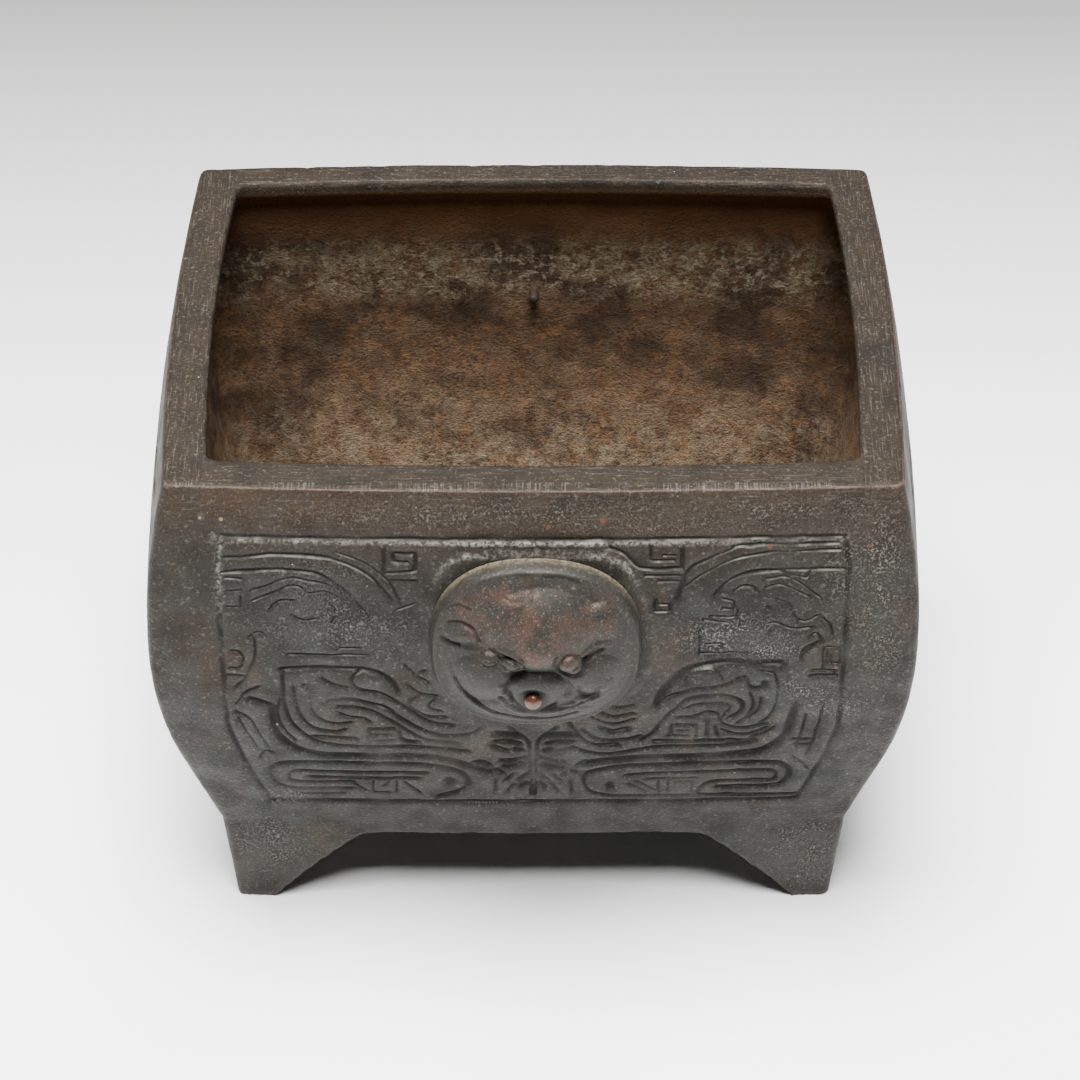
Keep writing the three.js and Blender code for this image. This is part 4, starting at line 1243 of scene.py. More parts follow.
# The pin's seat is level to the second of these distances from the pin, and blends in up to the first
SEAT = (4.8, 2.2)
# Rings of the mesh: share of the outline and height, on the back and on the rounded rim
BACK_SHARES = (0.35, 0.7, 0.985)
BACK_ROUND = 0.4
SIDE_SHARES = (0.2, 0.35, 0.5, 0.65, 0.78, 0.88)
SIDE_LEAN = 0.05
FACE_EDGE = 0.945
MASK_SPOKES = 330
MASK_RINGS = 84
# Dust on the rim's upper side fades between these heights, and between these shares of a full turn up
SHELF_HEIGHTS = (0.6, 3.4)
SHELF_TURN = (0.2, 0.7)
# The plainer back mask has this many of the ridges and grooves, and this share of the relief
PLAIN_LINES = 11
PLAIN_STRENGTH = 0.75
# Rubbed red-brown places: across, up, half width, half height, strength
BROWNS = [
    (1.5, 9, 8, 6, 1.0), (1.5, 2, 4, 3, 1.0), (-6, 15, 4, 3, 0.7), (-10, 9, 5, 5, 0.7),
    (13, 13, 4, 2.5, 0.8), (14.5, 7, 4, 3, 0.6), (-15, 10, 3, 3, 0.6), (7.6, 0.8, 2, 2, 0.6),
]

# Rounded forms: place, half width, half height above, half height below, lift, sharpness
FACE = [
    ((1.8, 7.4), 11.8, 8.8, 9.4, 2.9, 0.8),
    ((1.5, 2.4), 5.4, 5.6, 4.0, 0.7, 0.9),
    ((7.7, 0.2), 2.5, 2.4, 2.4, 2.0, 0.5),
    ((0.5, -5.4), 6.0, 3.2, 7.6, 1.8, 0.75),
    ((-10.2, -3.8), 6.2, 5.2, 6.6, 1.8, 0.7),
    ((12.8, -3.4), 5.8, 4.4, 5.6, 1.6, 0.7),
    ((-8.8, 1.2), 2.0, 1.4, 1.3, 1.4, 0.6),
    ((-14.6, 5.5), 4.4, 1.9, 1.9, 1.0, 0.7),
    ((-4.0, 16.6), 3.8, 2.2, 2.8, 0.7, 0.7),
    ((3.0, -14.2), 10.5, 1.5, 2.4, 0.55, 0.8),
    ((-9.0, -12.6), 4.2, 1.8, 2.0, 0.35, 0.8),
    ((-4.5, 0.3), 2.8, 1.8, 1.7, 1.9, 0.6),
    ((-3.1, 0.1), 0.8, 0.6, 0.6, -0.6, 0.8),
    ((-14.0, 12.2), 4.6, 4.2, 4.2, 0.6, 0.8),
    ((14.6, 8.6), 4.2, 3.2, 4.4, 0.8, 0.8),
    ((0, -10.6), 4.4, 2.4, 2.8, -0.5, 0.8),
    ((-3.4, -2.2), 2.6, 1.2, 1.4, -0.3, 0.9),
    ((4.4, -2.6), 2.8, 1.4, 1.5, -0.3, 0.9),
    ((12.6, 15.2), 3.8, 2.8, 3.0, -1.2, 0.7),
    ((0.6, 16.4), 1.6, 1.3, 1.7, -0.9, 0.8),
    ((-4.2, 15.8), 2.2, 1.3, 1.4, -0.7, 0.8),
    ((0.0, -16.2), 1.6, 0.7, 0.7, -0.8, 0.8),
    ((-12.6, 3.4), 3.0, 1.0, 1.2, -0.4, 0.8),
]
# Raised ridges of the face
RIDGES = [
    ((2.4, 0.5), [(-10.4, 14.6), (-9.6, 11.2), (-7.8, 6.6)]),
    ((1.4, 0.7), [(-6.8, 3.9), (-4.6, 3.3), (-2.2, 1.3)]),
    ((1.2, 0.4), [(-6.0, -0.9), (-4.0, -1.7), (-2.2, -1.5)]),
    ((1.7, 1.0), [(8.6, 15.6), (9.8, 12.8), (12.2, 11.4), (15, 12.4), (16.8, 15)]),
    ((1.7, 0.45), [(-9.6, 18), (-7.6, 14.4), (-4.4, 13), (-1.4, 14), (-0.2, 16.2)]),
    ((1.4, 0.6), [(10.2, 1.8), (12.6, 3.4), (15.4, 3.4)]),
    ((1.6, 0.6), [(9.2, -10.4), (12.4, -10.8), (15.2, -8.8), (15.8, -5.4)]),
    ((1.6, 0.5), [(-17.4, -2.8), (-15.8, -7.4), (-12.6, -12), (-8.4, -15)]),
    ((1.6, 0.7), [(-6.8, -10), (-4.4, -12.7), (-0.4, -13.9), (4.6, -13.3), (9, -11.4)]),
    ((1.3, 0.5), [(-6.4, -5.6), (-6, -8.4), (-4.6, -10.8)]),
]
# Grooves of the face
GROOVES = [
    ((0.9, 0.35), [(-6.8, 2.7), (-4.8, 2.5), (-2.8, 1.2), (-1.7, -0.6)]),
    ((1.6, 0.4), [(-1.9, -2.4), (-4.2, -3.4), (-5.4, -5.4), (-5.6, -7.2)]),
    ((1.6, 0.35), [(3.8, -3.2), (6.2, -4.4), (7.4, -6.4), (7.0, -8.6)]),
    ((1.1, 0.5), [(-4.9, -7.6), (-4, -10.2), (-1.9, -12.2), (1.6, -12.5), (4.4, -11.4)]),
    ((1.3, 0.7), [(5, 2.6), (4.4, 0.2), (5.6, -2.2), (8, -3), (10.2, -1.6), (10.8, 0.6)]),
    ((0.9, 0.5), [(10.8, -0.4), (12.2, 1.2), (14, 2.2)]),
    ((1.1, 0.6), [(-18.6, 4), (-17, 3.3), (-15.2, 2.9)]),
    ((0.9, 0.4), [(-17, 7.8), (-14.4, 8.2), (-12, 6.8), (-10.8, 4.6)]),
    ((1.0, 0.5), [(-15.8, -5.2), (-14.2, -8.6), (-12, -11.2), (-9.6, -13.6), (-7.2, -15.2)]),
    ((1.2, 0.7), [(9.4, -5.8), (9.4, -8), (11.2, -9.4), (13.2, -8.6), (13.8, -6.6)]),
    ((1.1, 0.4), [(5.6, -12.8), (9.4, -11.8), (13.2, -9.6)]),
    ((1.0, 0.35), [(-6.4, -15.4), (-2, -16.6), (3, -16.6), (9, -14.8)]),
    ((0.9, 0.3), [(-9.4, 18), (-5, 19), (-0.6, 18.6)]),
    ((0.9, 0.3), [(2, 18.2), (6, 18.2), (9.4, 17)]),
    ((0.9, 0.3), [(-18.6, 10.4), (-15.4, 12), (-12.4, 11.2)]),
]
# Edge of the moulding raised round a mask: across and drop on the wall
PAD = [
    (-20.6, 24), (-20, 20.2), (-17.4, 15.8), (-12.8, 14.1), (-6.8, 13.8), (0, 13.7), (6.5, 13.8),
    (13.5, 14.1), (17.8, 15.6), (20.6, 18.6), (22.5, 24.2), (24.4, 29.6), (25.4, 35), (24.8, 41),
    (22.4, 47), (18.6, 51.6), (12, 55), (5, 56.6), (-5, 56.6), (-12, 55), (-17.6, 51.4), (-20.8, 46),
    (-22, 40), (-22.2, 33),
]
PAD_LIFT = 0.8
PAD_STEP = 1.0
# Distances from the moulding's edge between which the carving returns and the moulding falls off
CARVING_FADE = (0.1, 0.9)
PAD_FALL = (0.35, -0.5)
# Dust on the moulding's edge: how far inside it, its breadth and its strength
PAD_DUST = (0.1, 0.4, 0.6)
# It lies between these drops, with a little down the right side, between these distances and drops
PAD_DUST_TOP = (23, 15)
PAD_DUST_RIGHT = 0.25
PAD_DUST_ACROSS = (14, 20)
PAD_DUST_DROPS = (46, 36)


class Mask:
    """A beast mask that stands just off one wall, held by a pin."""

    def __init__(self, form, wall, pin_drop, seat, strength):
        self.form = form
        self.wall = wall
        self.pin_up = form.mask_drop - pin_drop
        self.seat = seat
        self.strength = strength
        shown = slice(None) if strength >= 1 else slice(PLAIN_LINES)
        self.ridges = Carving(RIDGES[shown], [])
        self.grooves = Carving(GROOVES[shown], [])

    def unit(self, across, up):
        """Share of the way from the mask's middle to its outline."""
        form = self.form
        x = np.abs(across) / (form.mask_width / 2 * np.where(across > 0, RIGHT_REACH, 1))
        y = np.abs(up) / (form.mask_height / 2)
        return (x ** SQUARENESS + y ** SQUARENESS) ** (1 / SQUARENESS)

    def outline(self, angle):
        form = self.form
        across, up = np.cos(angle), np.sin(angle)
        reach = (np.abs(across) ** SQUARENESS + np.abs(up) ** SQUARENESS) ** (-1 / SQUARENESS)
        wide = form.mask_width / 2 * np.where(across > 0, RIGHT_REACH, 1)
        return wide * reach * across, form.mask_height / 2 * reach * up

    def clearing(self, across, drop):
        """How much of the wall's carving is left, the height of the moulding, and the dust on it."""
        points = np.column_stack([across, drop])
        loop = spline(PAD + PAD[:1], PAD_STEP)
        away = distance_to(points, loop) * np.where(inside_loop(points, loop), -1, 1)
        clear = smooth_step(*CARVING_FADE, away)
        pad = PAD_LIFT * smooth_step(*PAD_FALL, away)
        right = PAD_DUST_RIGHT * smooth_step(*PAD_DUST_ACROSS, across)
        upper = smooth_step(*PAD_DUST_TOP, drop) + right * smooth_step(*PAD_DUST_DROPS, drop)
        inward, breadth, strength = PAD_DUST
        dusty = strength * np.exp(-((away + inward) / breadth) ** 2) * np.minimum(upper, 1)
        return clear, pad, dusty

    def lift(self, across, up):
        """Height of the mask's face above the wall, and the depth of its grooves."""
        form = self.form
        inner = np.minimum(self.unit(across, up) / FLANGE, 1)
        fade = 1 - inner ** FADE_ROUND
        height = form.mask_edge + form.mask_dome * DOME_SHARE * (1 - inner ** DOME_ROUND)
        for place, wide, over, under, rise, sharp in FACE:
            tall = np.where(up > place[1], over, under)
            reach = np.maximum(oval(across, up, place, wide, tall), 0)
            height += self.strength * fade * rise * reach ** sharp
        points = np.column_stack([across, up])
        ridge, _ = self.ridges.cut(points)
        groove, share = self.grooves.cut(points)
        height += self.strength * (ridge * fade - groove * smooth_step(*GROOVE_FADE, inner))
        places = np.column_stack([across, up, np.zeros(len(up))])
        height += heaped(places, [MASK_GRAIN]) * fade
        seat = smooth_step(*SEAT, np.hypot(across, up - self.pin_up))
        return height + (self.seat - height) * seat, share

    def build(self, name):
        wall, form = self.wall, self.form
        angles = np.linspace(0, 2 * math.pi, MASK_SPOKES, endpoint=False)
        edge_x, edge_y = self.outline(angles)
        rings = [(unit, form.gap) for unit in BACK_SHARES] + [(1.0, form.gap + BACK_ROUND)]
        rings += [(1.0 - SIDE_LEAN * share ** 3, form.mask_edge * share) for share in SIDE_SHARES]
        rings += [(unit, None) for unit in np.linspace(FACE_EDGE, 1 / MASK_RINGS, MASK_RINGS)]
        shell = Shell()
        stacks, shares, browns, ledges = [], [], [], []
        for unit, height in rings:
            across, up = edge_x * unit, edge_y * unit
            lift, share = self.lift(across, up)
            if height is not None:
                lift, share = np.full(len(angles), height), np.zeros(len(angles))
            stacks.append(self.place(across, up, lift))
            shares.append(share)
            browns.append(np.clip(patches(across, up, BROWNS), 0, 1))
            outer = 0 if height is None else 1 - smooth_step(*SHELF_HEIGHTS, height)
            ledges.append(outer * smooth_step(*SHELF_TURN, np.sin(angles)))
        places = np.vstack(stacks)
        centre = np.zeros(1)
        ends = np.vstack([self.place(centre, centre, np.array([form.gap])),
                          self.place(centre, centre, self.lift(centre, centre)[0])])
        first, last = len(places), (len(rings) - 1) * MASK_SPOKES
        fans = []
        for spoke in range(MASK_SPOKES):
            after = (spoke + 1) % MASK_SPOKES
            fans.append([first, after, spoke])
            fans.append([last + spoke, last + after, first + 1])
        shell.add(np.vstack([places, ends]), strip_faces(len(rings), MASK_SPOKES, True),
                  cut=np.concatenate([*shares, [0, 0]]), brow=np.concatenate([*browns, [0, 1]]),
                  ledge=np.concatenate([*ledges, [0, 0]]))
        shell.faces += fans
        return shell.mesh(name)

    def place(self, across, up, lift):
        drop = self.form.mask_drop - up
        return self.wall.face(across, drop) + self.wall.normal(across, drop) * lift[:, None]


# Pins
PIN_SIDES = 32
BEAD_LEVELS = 12
# The tail's rounded end: share of the shank's radius and distance from the tip of the tail
TAIL_END = ((0.0, 0.0), (0.45, 0.05), (0.8, 0.25), (1.0, 0.8))
SHANK_SHARES = (0.3, 0.5, 0.7, 0.98)
# The bead's underside: shares of the head's radius outwards and along the pin
BEAD_FOOT = ((0.86, 0.0), (0.97, 0.1))
BEAD_RISE = 0.25
PIN_GRAIN = 0.05
PIN_GRAIN_ACROSS = 1.3
PIN_SEEDS = (71, 72, 73)
# How much further the worn pins' beads stand out than the frame's pins, and how deep they sit in a mask
PIN_PROUD = 1.7
PIN_SUNK = 0.15


def pin_mesh(form, wall, drop, tip, name):
    """A rivet: a bead for a head, a shank through the wall and a tail inside the bowl."""
    radius = form.pin_diameter / 2
    head = form.pin_head / 2
    outer = wall.rim_reach + float(form.body_swell(drop)) + form.bow
    tail = outer - form.wall - form.pin_tail
    foot = tip - head
    profile = [(radius * out, tail + along) for out, along in TAIL_END]
    profile += [(radius, tail + share * (foot - tail)) for share in SHANK_SHARES]
    profile += [(head * out, foot + head * along) for out, along in BEAD_FOOT]
    profile += [(head * math.cos(angle), foot + head * (BEAD_RISE + (1 - BEAD_RISE) * math.sin(angle)))
                for angle in np.linspace(0, math.pi / 2, BEAD_LEVELS)[:-1]]
    profile.append((0.0, tip))
    turns = np.linspace(0, 2 * math.pi, PIN_SIDES, endpoint=False)
    rings = [np.column_stack([r * np.cos(turns), np.full(PIN_SIDES, -y), r * np.sin(turns) - drop])
             for r, y in profile]
    places = np.vstack(rings)
    noise = np.column_stack([layered_noise(places, PIN_GRAIN_ACROSS, seed, 2) for seed in PIN_SEEDS])
    off_axis = np.hypot(places[:, 0], places[:, 2] + drop) > WELD
    places += PIN_GRAIN * noise * off_axis[:, None]
    shell = Shell()
    inside = places[:, 1] > -(outer - form.wall)
    shell.add(wall.turned(places[:, 0], places[:, 1], -places[:, 2]),
              strip_faces(len(rings), PIN_SIDES, True), inner=inside * 1.0)
    return shell.mesh(name)


# Finishes
# Dirt, dust and rust are laid on as coats, with some painted shade and painted light among them. They
# follow noises, the traces on the mesh and the drop.
GLOSS = 0.135
PIN_GLOSS = 0.4
METAL = 0.3
PIN_METAL = 0.1
# Depth in metres of one unit of height under the finishes
BODY_GRAIN = 0.001
MASK_GRAIN_DEPTH = 0.00024
PIN_GRAIN_DEPTH = 0.0001
# File marks: breadth along and across them in the noise, and of the ticks across the rim's front edge
FILE_ALONG = 0.12
FILE_ACROSS = 3.2
TICKS = (2.6, 0.1, 0.1)
# The ticks lie between these distances from the front of the rim
TICK_BAND = (1.3, 0.5)
# Droplets of rust and pale dots: across and drop on the front wall, and radius
DROPLETS = [(3.2, 7.8, 0.55), (14.2, 6.5, 0.7), (48.2, 12.8, 0.6), (63.0, 43.5, 0.55), (68.5, 13.2, 0.45)]
CREAM_DOTS = [(-67.5, 6.8, 0.4), (-63.2, 7.0, 0.48)]
DOT_CORE = 0.7


class Nodes:
    """Short calls for the nodes of one finish. A colour may be the name of a tone."""

    def __init__(self, name, tones=None):
        self.tones = tones
        self.material = bpy.data.materials.new(name)
        self.material.use_nodes = True
        self.tree = self.material.node_tree
        self.tree.nodes.clear()
        output = self.new("OutputMaterial")
        self.shader = self.new("BsdfPrincipled")
        self.tree.links.new(self.shader.outputs[0], output.inputs[0])
        coordinates = self.new("TexCoord").outputs["Object"]
        self.place = self.scaled(coordinates, (1 / MM, 1 / MM, 1 / MM))

    def new(self, kind, **settings):
        node = self.tree.nodes.new("ShaderNode" + kind)
        for name, value in settings.items():
            setattr(node, name, value)
        return node

    def put(self, socket, value):
        if isinstance(value, bpy.types.NodeSocket):
            self.tree.links.new(value, socket)
        elif isinstance(value, str):
            socket.default_value = (*getattr(self.tones, value), 1.0)
        else:
            socket.default_value = value

    def filled(self, node, *values):
        """The node, with its first inputs filled in order."""
        for socket, value in zip(list(node.inputs), values):
            self.put(socket, value)
        return node

    def trace(self, name):
        return self.new("Attribute", attribute_name=name).outputs["Fac"]

    def scaled(self, vector, scale):
        return self.filled(self.new("VectorMath", operation="MULTIPLY"), vector, scale).outputs[0]

    def distance(self, place):
        node = self.new("VectorMath", operation="DISTANCE")
        return self.filled(node, self.place, place).outputs["Value"]

    def noise(self, across, detail=3.0, rough=0.55, vector=None):
        """Noise whose spots are about across millimetres wide."""
        node = self.new("TexNoise")
        self.put(node.inputs["Scale"], 1 / across)
        self.put(node.inputs["Detail"], detail)
        self.put(node.inputs["Roughness"], rough)
        self.put(node.inputs["Vector"], vector or self.place)
        return node.outputs[0]

    def math(self, operation, first, second, clamp=False):
        node = self.new("Math", operation=operation, use_clamp=clamp)
        return self.filled(node, first, second).outputs[0]

    def times(self, first, *others):
        for value in others:
            first = self.math("MULTIPLY", first, value)
        return first

    def plus(self, first, second, clamp=False):
        return self.math("ADD", first, second, clamp)

    def most(self, first, second):
        return self.math("MAXIMUM", first, second)

    def step(self, value, low, high, least=0.0, most=1.0):
        node = self.new("MapRange", interpolation_type="SMOOTHSTEP")
        return self.filled(node, value, low, high, least, most).outputs[0]

    def mix(self, share, first, second):
        node = self.new("Mix", data_type="RGBA")
        self.put(node.inputs[0], share)
        self.put(node.inputs[6], first)
        self.put(node.inputs[7], second)
        return node.outputs[2]

    def coated(self, tint, *coats):
        """The tint under coats, each a share and a tone."""
        for share, tone in coats:
            tint = self.mix(share, tint, tone)
        return tint

    def part(self, vector, axis):
        return self.filled(self.new("SeparateXYZ"), vector).outputs[axis]

    def bump(self, height, strength, depth):
        node = self.new("Bump")
        self.put(node.inputs["Strength"], strength)
        self.put(node.inputs["Distance"], depth)
        self.put(node.inputs["Height"], height)
        return node.outputs[0]

    def finish(self, tint, rough, normal, metallic, gloss=0.5):
        self.shader.inputs["Specular IOR Level"].default_value = gloss
        self.put(self.shader.inputs["Base Color"], tint)
        self.put(self.shader.inputs["Roughness"], rough)
        self.put(self.shader.inputs["Normal"], normal)
        self.put(self.shader.inputs["Metallic"], metallic)
        return self.material


class BodyIron(Nodes):
    """The body's finish: worn iron outside, rust and ash inside."""

    def __init__(self, tones, form, wall):
        super().__init__("burner_iron", tones)
        self.form = form
        self.wall = wall
        self.height = self.part(self.place, "Z")
        self.cut, self.inner, self.filed, self.worn = map(self.trace, ("cut", "inner", "filed", "worn"))
        self.broad = self.noise(34, 2)
        self.patchy = self.noise(15, 2, 0.65)
        self.mid = self.noise(7, 4, 0.62)
        self.fine = self.noise(0.9, 3, 0.65)
        self.grit = self.noise(0.45, 2, 0.6)

    def level(self, start, full, least=0.0, most=1.0, wander=None):
        """Share that grows from a start to a full drop, both in millimetres below the rim."""
        height = self.plus(self.height, self.times(self.mid, wander)) if wander else self.height
        return self.step(height, self.form.height - start, self.form.height - full, least, most)

    def bare_iron(self):
        """Cool and brown iron with stains, dirt and a breath of dust, with painted shade darkening the
        filed rim top and painted bounce light paling the feet.
        """
        stains = self.times(self.trace("rusty"), self.step(self.mid, 0.42, 0.62, 0, 0.55))
        return self.coated(
            self.mix(self.step(self.broad, 0.4, 0.62), "iron", "iron_blue"),
            (self.level(14.5, -15.5, wander=26), "iron_brown"),
            (self.step(self.patchy, 0.52, 0.72, 0, 0.65), "iron_brown"),
            (stains, "ochre"),
            (self.step(self.mid, 0.3, 0.72, 0, 0.6), "dirt"),
            # Painted shade: the dirt tone darkens the filed rim top, which faces up into the top light
            (self.times(self.filed, 0.3), "dirt"),
            (self.step(self.fine, 0.55, 0.72, 0, 0.13), "dust"),
            (self.step(self.grit, 0.5, 0.34, 0, 0.45), "dirt"),
            # Painted bounce light: a touch of the pale dust tone lightens the feet towards the ground, as
            # if lit from the floor
            (self.level(98.5, 114.5, 0, 0.05), "dust"),
        )

    def file_marks(self, tint):
        """Streaks along the rim and the top margins, and ticks across the rim's front edge."""
        drawn = self.mix(self.trace("sideways"),
                         self.scaled(self.place, (FILE_ALONG, FILE_ACROSS, FILE_ACROSS)),
                         self.scaled(self.place, (FILE_ACROSS, FILE_ALONG, FILE_ACROSS)))
        streak = self.noise(1.0, 3, 0.7, drawn)
        marked = self.most(self.filed, self.times(self.level(13.5, 4.5), 0.6))
        tick = self.noise(1.0, 1, 0.5, self.scaled(self.place, TICKS))
        start, full = (inward - self.form.rim_depth / 2 for inward in TICK_BAND)
        ticked = self.times(self.step(self.part(self.place, "Y"), start, full), self.filed,
                            self.step(self.patchy, 0.42, 0.55))
        return self.coated(
            tint,
            (self.times(self.step(streak, 0.54, 0.74), self.times(marked, 0.16)), "dust"),
            (self.times(self.step(streak, 0.48, 0.3), self.times(marked, 0.5)), "dirt"),
            (self.times(self.step(tick, 0.5, 0.62, 0, 0.11), ticked), "dust"),
        )

    def worn_edges(self, tint, edge):
        """Pinkish rim, brown corners and dirty carving."""
        rim_edge = self.times(self.step(self.worn, 0.3, 0.75), self.level(1.1, 0.3),
                              self.step(self.mid, 0.4, 0.6, 0.25, 0.8))
        return self.coated(
            tint,
            (rim_edge, "rim_edge"),
            (self.times(edge, 0.55), "brow"),
            (self.step(self.cut, 0.1, 0.9, 0, 0.68), "dirt"),
        )

    def pale_dust(self):
        """Share of pale tone: dust and a painted highlight on the upward lower lips of the carving, and
        dust on ledges, in specks and as stray spots.
        """
        up = self.part(self.new("NewGeometry").outputs["Normal"], "Z")
        # Partly dust, partly painted highlight: the upward-facing lower lips of the carving are paled
        # where light from above catches them
        lip_dust_and_highlight = self.times(self.step(up, 0.25, 0.7), self.step(self.cut, 0.02, 0.35),
                          self.step(self.mid, 0.42, 0.62, 0.1, 0.5))
        ledges = self.times(self.trace("ledge"), self.step(self.fine, 0.4, 0.58, 0.12, 0.9),
                            self.step(self.mid, 0.34, 0.6, 0.35, 1))
        specks = self.times(self.trace("spot"), self.step(self.grit, 0.5, 0.66),
                            self.step(self.mid, 0.4, 0.62, 0.1, 0.55))
        stray = self.step(self.noise(1.3, 2, 0.5), 0.77, 0.8, 0, 0.7)
        return self.most(self.most(lip_dust_and_highlight, ledges), self.most(specks, stray))

    def dotted(self, tint):
        """Single droplets of rust and pale dots on the front."""
        for dots, tone in ((DROPLETS, "droplet"), (CREAM_DOTS, "ash")):
            for across, drop, radius in dots:
                centre = self.wall.face(np.array([across]), np.array([drop]))[0]
                share = self.step(self.distance(tuple(centre)), radius, radius * DOT_CORE)
                tint = self.mix(share, tint, tone)
        return tint

    def inside_rust(self):
        """Rust with a pale band, ash low down, dark blotches, and warmer rust under the rim."""
        low = self.level(30.5, 76.5, wander=40)
        band = self.times(self.level(40.5, 30.5), self.level(16.5, 25.5))
        ash = self.plus(self.times(low, 0.55), self.times(band, 0.7))
        ash = self.times(self.plus(ash, 0.25, True), self.step(self.noise(5, 3, 0.8), 0.38, 0.62, 0.1, 1))
        blotches = self.times(self.step(self.noise(17, 2, 0.7), 0.48, 0.64, 0, 0.65),
                              self.step(low, 0, 1, 1, 0.25))
        cream = self.times(self.plus(self.times(low, 0.6), band, True),
                           self.step(self.noise(2.4, 3, 0.8), 0.48, 0.66, 0, 0.8))
        return self.coated(
            self.mix(self.step(self.patchy, 0.32, 0.6, 0.45, 1), "rust_dark", "rust"),
            (self.step(self.noise(4.2, 3, 0.75), 0.45, 0.66, 0, 0.7), "rust_warm"),
            (ash, "ash"),
            (self.step(self.fine, 0.5, 0.7, 0, 0.6), "rust_dark"),
            (blotches, "rust_dark"),
            (cream, "cream"),
            (self.times(self.level(22.5, 8.5), 0.85), "rust_warm"),
        )

    def finished(self):
        edge = self.times(self.step(self.worn, 0.25, 0.7), self.step(self.mid, 0.35, 0.6))
        pale = self.pale_dust()
        tint = self.worn_edges(self.file_marks(self.bare_iron()), edge)
        tint = self.dotted(self.mix(self.math("MINIMUM", pale, 0.9), tint, "dust"))
        rusted = self.times(self.step(self.inner, 0.3, 0.7), self.level(1.9, 4.1))
        tint = self.mix(rusted, tint, self.inside_rust())
        rough = self.step(self.mid, 0.3, 0.7, 0.5, 0.66)
        rough = self.math("SUBTRACT", rough, self.times(edge, 0.15))
        rough = self.plus(rough, self.times(self.most(self.cut, self.inner), 0.2), True)
        metallic = self.times(self.math("SUBTRACT", 1, self.most(self.inner, pale), True), METAL)
        grain = self.plus(self.times(self.fine, 0.7), self.times(self.grit, 0.4))
        relief = self.times(grain, self.plus(0.2, self.times(rusted, 0.45)))
        return self.finish(tint, rough, self.bump(relief, 1.0, BODY_GRAIN), metallic, GLOSS)


def mask_finish(tones):
    nodes = Nodes("burner_mask", tones)
    cut = nodes.trace("cut")
    brow = nodes.trace("brow")
    mid = nodes.noise(6, 3, 0.62)
    fine = nodes.noise(0.8, 3, 0.65)
    grit = nodes.noise(0.4, 2, 0.6)
    rubbed = nodes.times(brow, nodes.step(nodes.noise(5, 3, 0.7), 0.36, 0.62))
    shelf = nodes.times(nodes.trace("ledge"), nodes.step(fine, 0.36, 0.6, 0.3, 0.95))
    tint = nodes.coated(
        nodes.mix(nodes.step(mid, 0.35, 0.65), "iron", "iron_blue"),
        (nodes.times(rubbed, 0.85), "brow"),
        (nodes.step(fine, 0.54, 0.78, 0, 0.16), "dust"),
        (nodes.step(grit, 0.5, 0.34, 0, 0.4), "dirt"),
        (nodes.times(brow, nodes.step(grit, 0.62, 0.72, 0, 0.28)), "dust"),
        (nodes.step(cut, 0.2, 1.0, 0, 0.5), "dirt"),
        (shelf, "ledge_dust"),
    )
    rough = nodes.plus(nodes.step(mid, 0.3, 0.7, 0.46, 0.6), nodes.times(cut, 0.2), True)
    grain = nodes.plus(nodes.times(fine, 0.7), nodes.times(grit, 0.4))
    metallic = nodes.times(nodes.math("SUBTRACT", 1, shelf, True), METAL)
    return nodes.finish(tint, rough, nodes.bump(grain, 0.45, MASK_GRAIN_DEPTH), metallic, GLOSS)


def pin_finish(tones):
    nodes = Nodes("burner_pin", tones)
    inner = nodes.trace("inner")
    fine = nodes.noise(0.8, 4, 0.6)
    tint = nodes.mix(nodes.step(fine, 0.4, 0.65), "pin", "rust_dark")
    tint = nodes.mix(inner, tint, "rust_dark")
    rough = nodes.plus(nodes.step(fine, 0.3, 0.7, 0.26, 0.44), nodes.times(inner, 0.4), True)
    return nodes.finish(tint, rough, nodes.bump(fine, 0.2, PIN_GRAIN_DEPTH), PIN_METAL, PIN_GLOSS)


# Building

def placed(name, mesh, material, node):
    """Puts a finished mesh in the scene, in metres, in the place of a frame node."""
    set_places(mesh, places_of(mesh) * MM)
    for polygon in mesh.polygons:
        polygon.use_smooth = True
    mesh.materials.append(material)
    piece = bpy.data.objects.new(name, mesh)
    bpy.context.scene.collection.objects.link(piece)
    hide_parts(node)
    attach(piece, "root")
    return piece


def settings():
    scene = bpy.context.scene
    return Form(scene.burner_sizes), scene.burner_colours


# The walls with a mask: quarter turns from the front one, and name
MASKED = ((0, "front"), (2, "back"))


def mask_for(form, turn, side):
    """The mask on the front or on the back wall, with the drop and the tip of its pin."""
    wall = Wall(form, turn)
    drop = getattr(form, f"{side}_pin_drop")
    low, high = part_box(f"{side}_pin")
    tip = max(abs(low[1]), abs(high[1])) / MM + PIN_PROUD
    outer = wall.rim_reach + float(form.body_swell(drop)) + form.bow
    seat = tip - form.pin_head / 2 - outer - PIN_SUNK
    return Mask(form, wall, drop, seat, 1.0 if side == "front" else PLAIN_STRENGTH), drop, tip


class BURNER_OT_body(Operator):
    """Build the carved body"""

    bl_idname = "burner.body"
    bl_label = "Body"

    def execute(self, context):
        form, tones = settings()
        mounted = {turn: mask_for(form, turn, side)[0] for turn, side in MASKED}
        body = Body(form, mounted)
        material = BodyIron(tones, form, body.walls[0]).finished()
        placed("cast_body", body.build("cast_body"), material, "body")
        return {"FINISHED"}


class BURNER_OT_masks(Operator):
    """Build the two beast masks"""

    bl_idname = "burner.masks"
    bl_label = "Masks"

    def execute(self, context):
        form, tones = settings()
        material = mask_finish(tones)
        for turn, side in MASKED:
            mask, _, _ = mask_for(form, turn, side)
            name = f"cast_{side}_mask"
            placed(name, mask.build(name), material, f"{side}_mask")
        return {"FINISHED"}


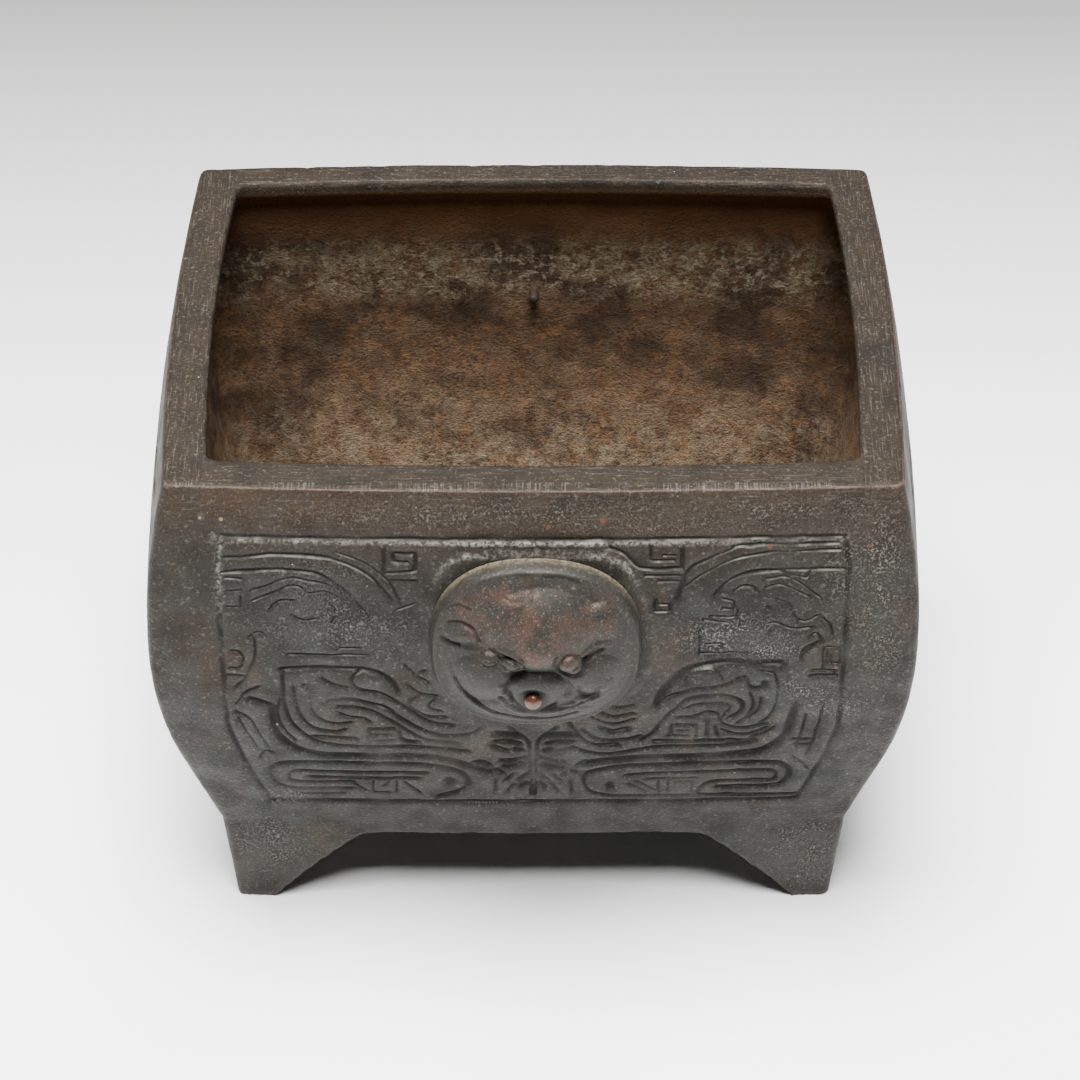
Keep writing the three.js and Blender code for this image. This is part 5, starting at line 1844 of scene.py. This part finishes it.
class BURNER_OT_pins(Operator):
    """Build the two pins that hold the masks"""

    bl_idname = "burner.pins"
    bl_label = "Pins"

    def execute(self, context):
        form, tones = settings()
        material = pin_finish(tones)
        for turn, side in MASKED:
            mask, drop, tip = mask_for(form, turn, side)
            name = f"rusted_{side}_pin"
            placed(name, pin_mesh(form, mask.wall, drop, tip, name), material, f"{side}_pin")
        return {"FINISHED"}


# Camera and lights, in metres
CAMERA_PLACE = (0.00145, -0.6754, 0.5958)
CAMERA_TILT = math.radians(51.68)
CAMERA_LENS = 128.3
SENSOR_WIDTH = 36.0
FLOOR_REACH = 6.0
SKY_STRENGTH = 0.04
# The floor's tint darkens away from the camera between these places, in millimetres, as painted shade
# where the light falls off
FLOOR_SHADE_FADE = (-80, 460)
FLOOR_NEAR = (0.98, 0.98, 0.98, 1.0)
FLOOR_FAR_SHADE = (0.048, 0.048, 0.046, 1.0)
# Lights: name, place, aim, breadth and power
LIGHTS = [
    ("top_light", (-0.1, -0.05, 1.5), (0.0, 0.0, 0.05), 0.9, 125.0),
    ("front_light", (0.1, -0.72, 1.67), (0.0, 0.0, 0.05), 0.5, 39.0),
]


class BURNER_OT_stage(Operator):
    """Set out the floor, the lights and the camera"""

    bl_idname = "burner.stage"
    bl_label = "Stage"

    def execute(self, context):
        scene = context.scene
        mesh = bpy.data.meshes.new("floor")
        corners = ((-1, -1), (1, -1), (1, 1), (-1, 1))
        mesh.from_pydata([(x * FLOOR_REACH, y * FLOOR_REACH, 0) for x, y in corners], [], [(0, 1, 2, 3)])
        floor = bpy.data.objects.new("floor", mesh)
        scene.collection.objects.link(floor)
        mesh.materials.append(floor_finish())
        world = bpy.data.worlds.new("studio")
        world.use_nodes = True
        sky = world.node_tree.nodes["Background"].inputs
        sky["Color"].default_value = (1.0, 1.0, 1.0, 1.0)
        sky["Strength"].default_value = SKY_STRENGTH
        scene.world = world
        for name, place, aim, breadth, power in LIGHTS:
            light = bpy.data.lights.new(name, "AREA")
            light.size = breadth
            light.energy = power
            lamp = bpy.data.objects.new(name, light)
            lamp.location = place
            lamp.rotation_euler = (Vector(aim) - Vector(place)).to_track_quat("-Z", "Y").to_euler()
            scene.collection.objects.link(lamp)
        lens = bpy.data.cameras.new("camera")
        lens.lens = CAMERA_LENS
        lens.sensor_width = SENSOR_WIDTH
        camera = bpy.data.objects.new("camera", lens)
        camera.location = CAMERA_PLACE
        camera.rotation_euler = (CAMERA_TILT, 0, 0)
        scene.collection.objects.link(camera)
        scene.camera = camera
        return {"FINISHED"}


def floor_finish():
    nodes = Nodes("studio_floor")
    # Painted shade: the floor's tint darkens away from the camera as the light falls off
    away = nodes.step(nodes.part(nodes.place, "Y"), *FLOOR_SHADE_FADE)
    tint = nodes.mix(away, FLOOR_NEAR, FLOOR_FAR_SHADE)
    return nodes.finish(tint, 0.7, nodes.bump(nodes.noise(2.0), 0.02, 0.0001), 0.0)


class BURNER_PT_panel(Panel):
    """Sizes, colours and steps of the burner"""

    bl_idname = "BURNER_PT_panel"
    bl_label = "Incense burner"
    bl_space_type = "VIEW_3D"
    bl_region_type = "UI"
    bl_category = "Burner"

    def draw(self, context):
        scene = context.scene
        for group in (scene.burner_sizes, scene.burner_colours):
            box = self.layout.box()
            for name in group.__annotations__:
                box.prop(group, name)
        for operator in STEPS:
            self.layout.operator(operator.bl_idname)


STEPS = (BURNER_OT_stage, BURNER_OT_body, BURNER_OT_masks, BURNER_OT_pins)
CLASSES = (BurnerSizes, BurnerColours, *STEPS, BURNER_PT_panel)


def register():
    for kind in CLASSES:
        bpy.utils.register_class(kind)
    bpy.types.Scene.burner_sizes = PointerProperty(type=BurnerSizes)
    bpy.types.Scene.burner_colours = PointerProperty(type=BurnerColours)


def unregister():
    del bpy.types.Scene.burner_colours
    del bpy.types.Scene.burner_sizes
    for kind in reversed(CLASSES):
        bpy.utils.unregister_class(kind)


def main():
    register()
    bpy.ops.burner.stage()
    bpy.ops.burner.body()
    bpy.ops.burner.masks()
    bpy.ops.burner.pins()


if __name__ == "__main__":
    main()
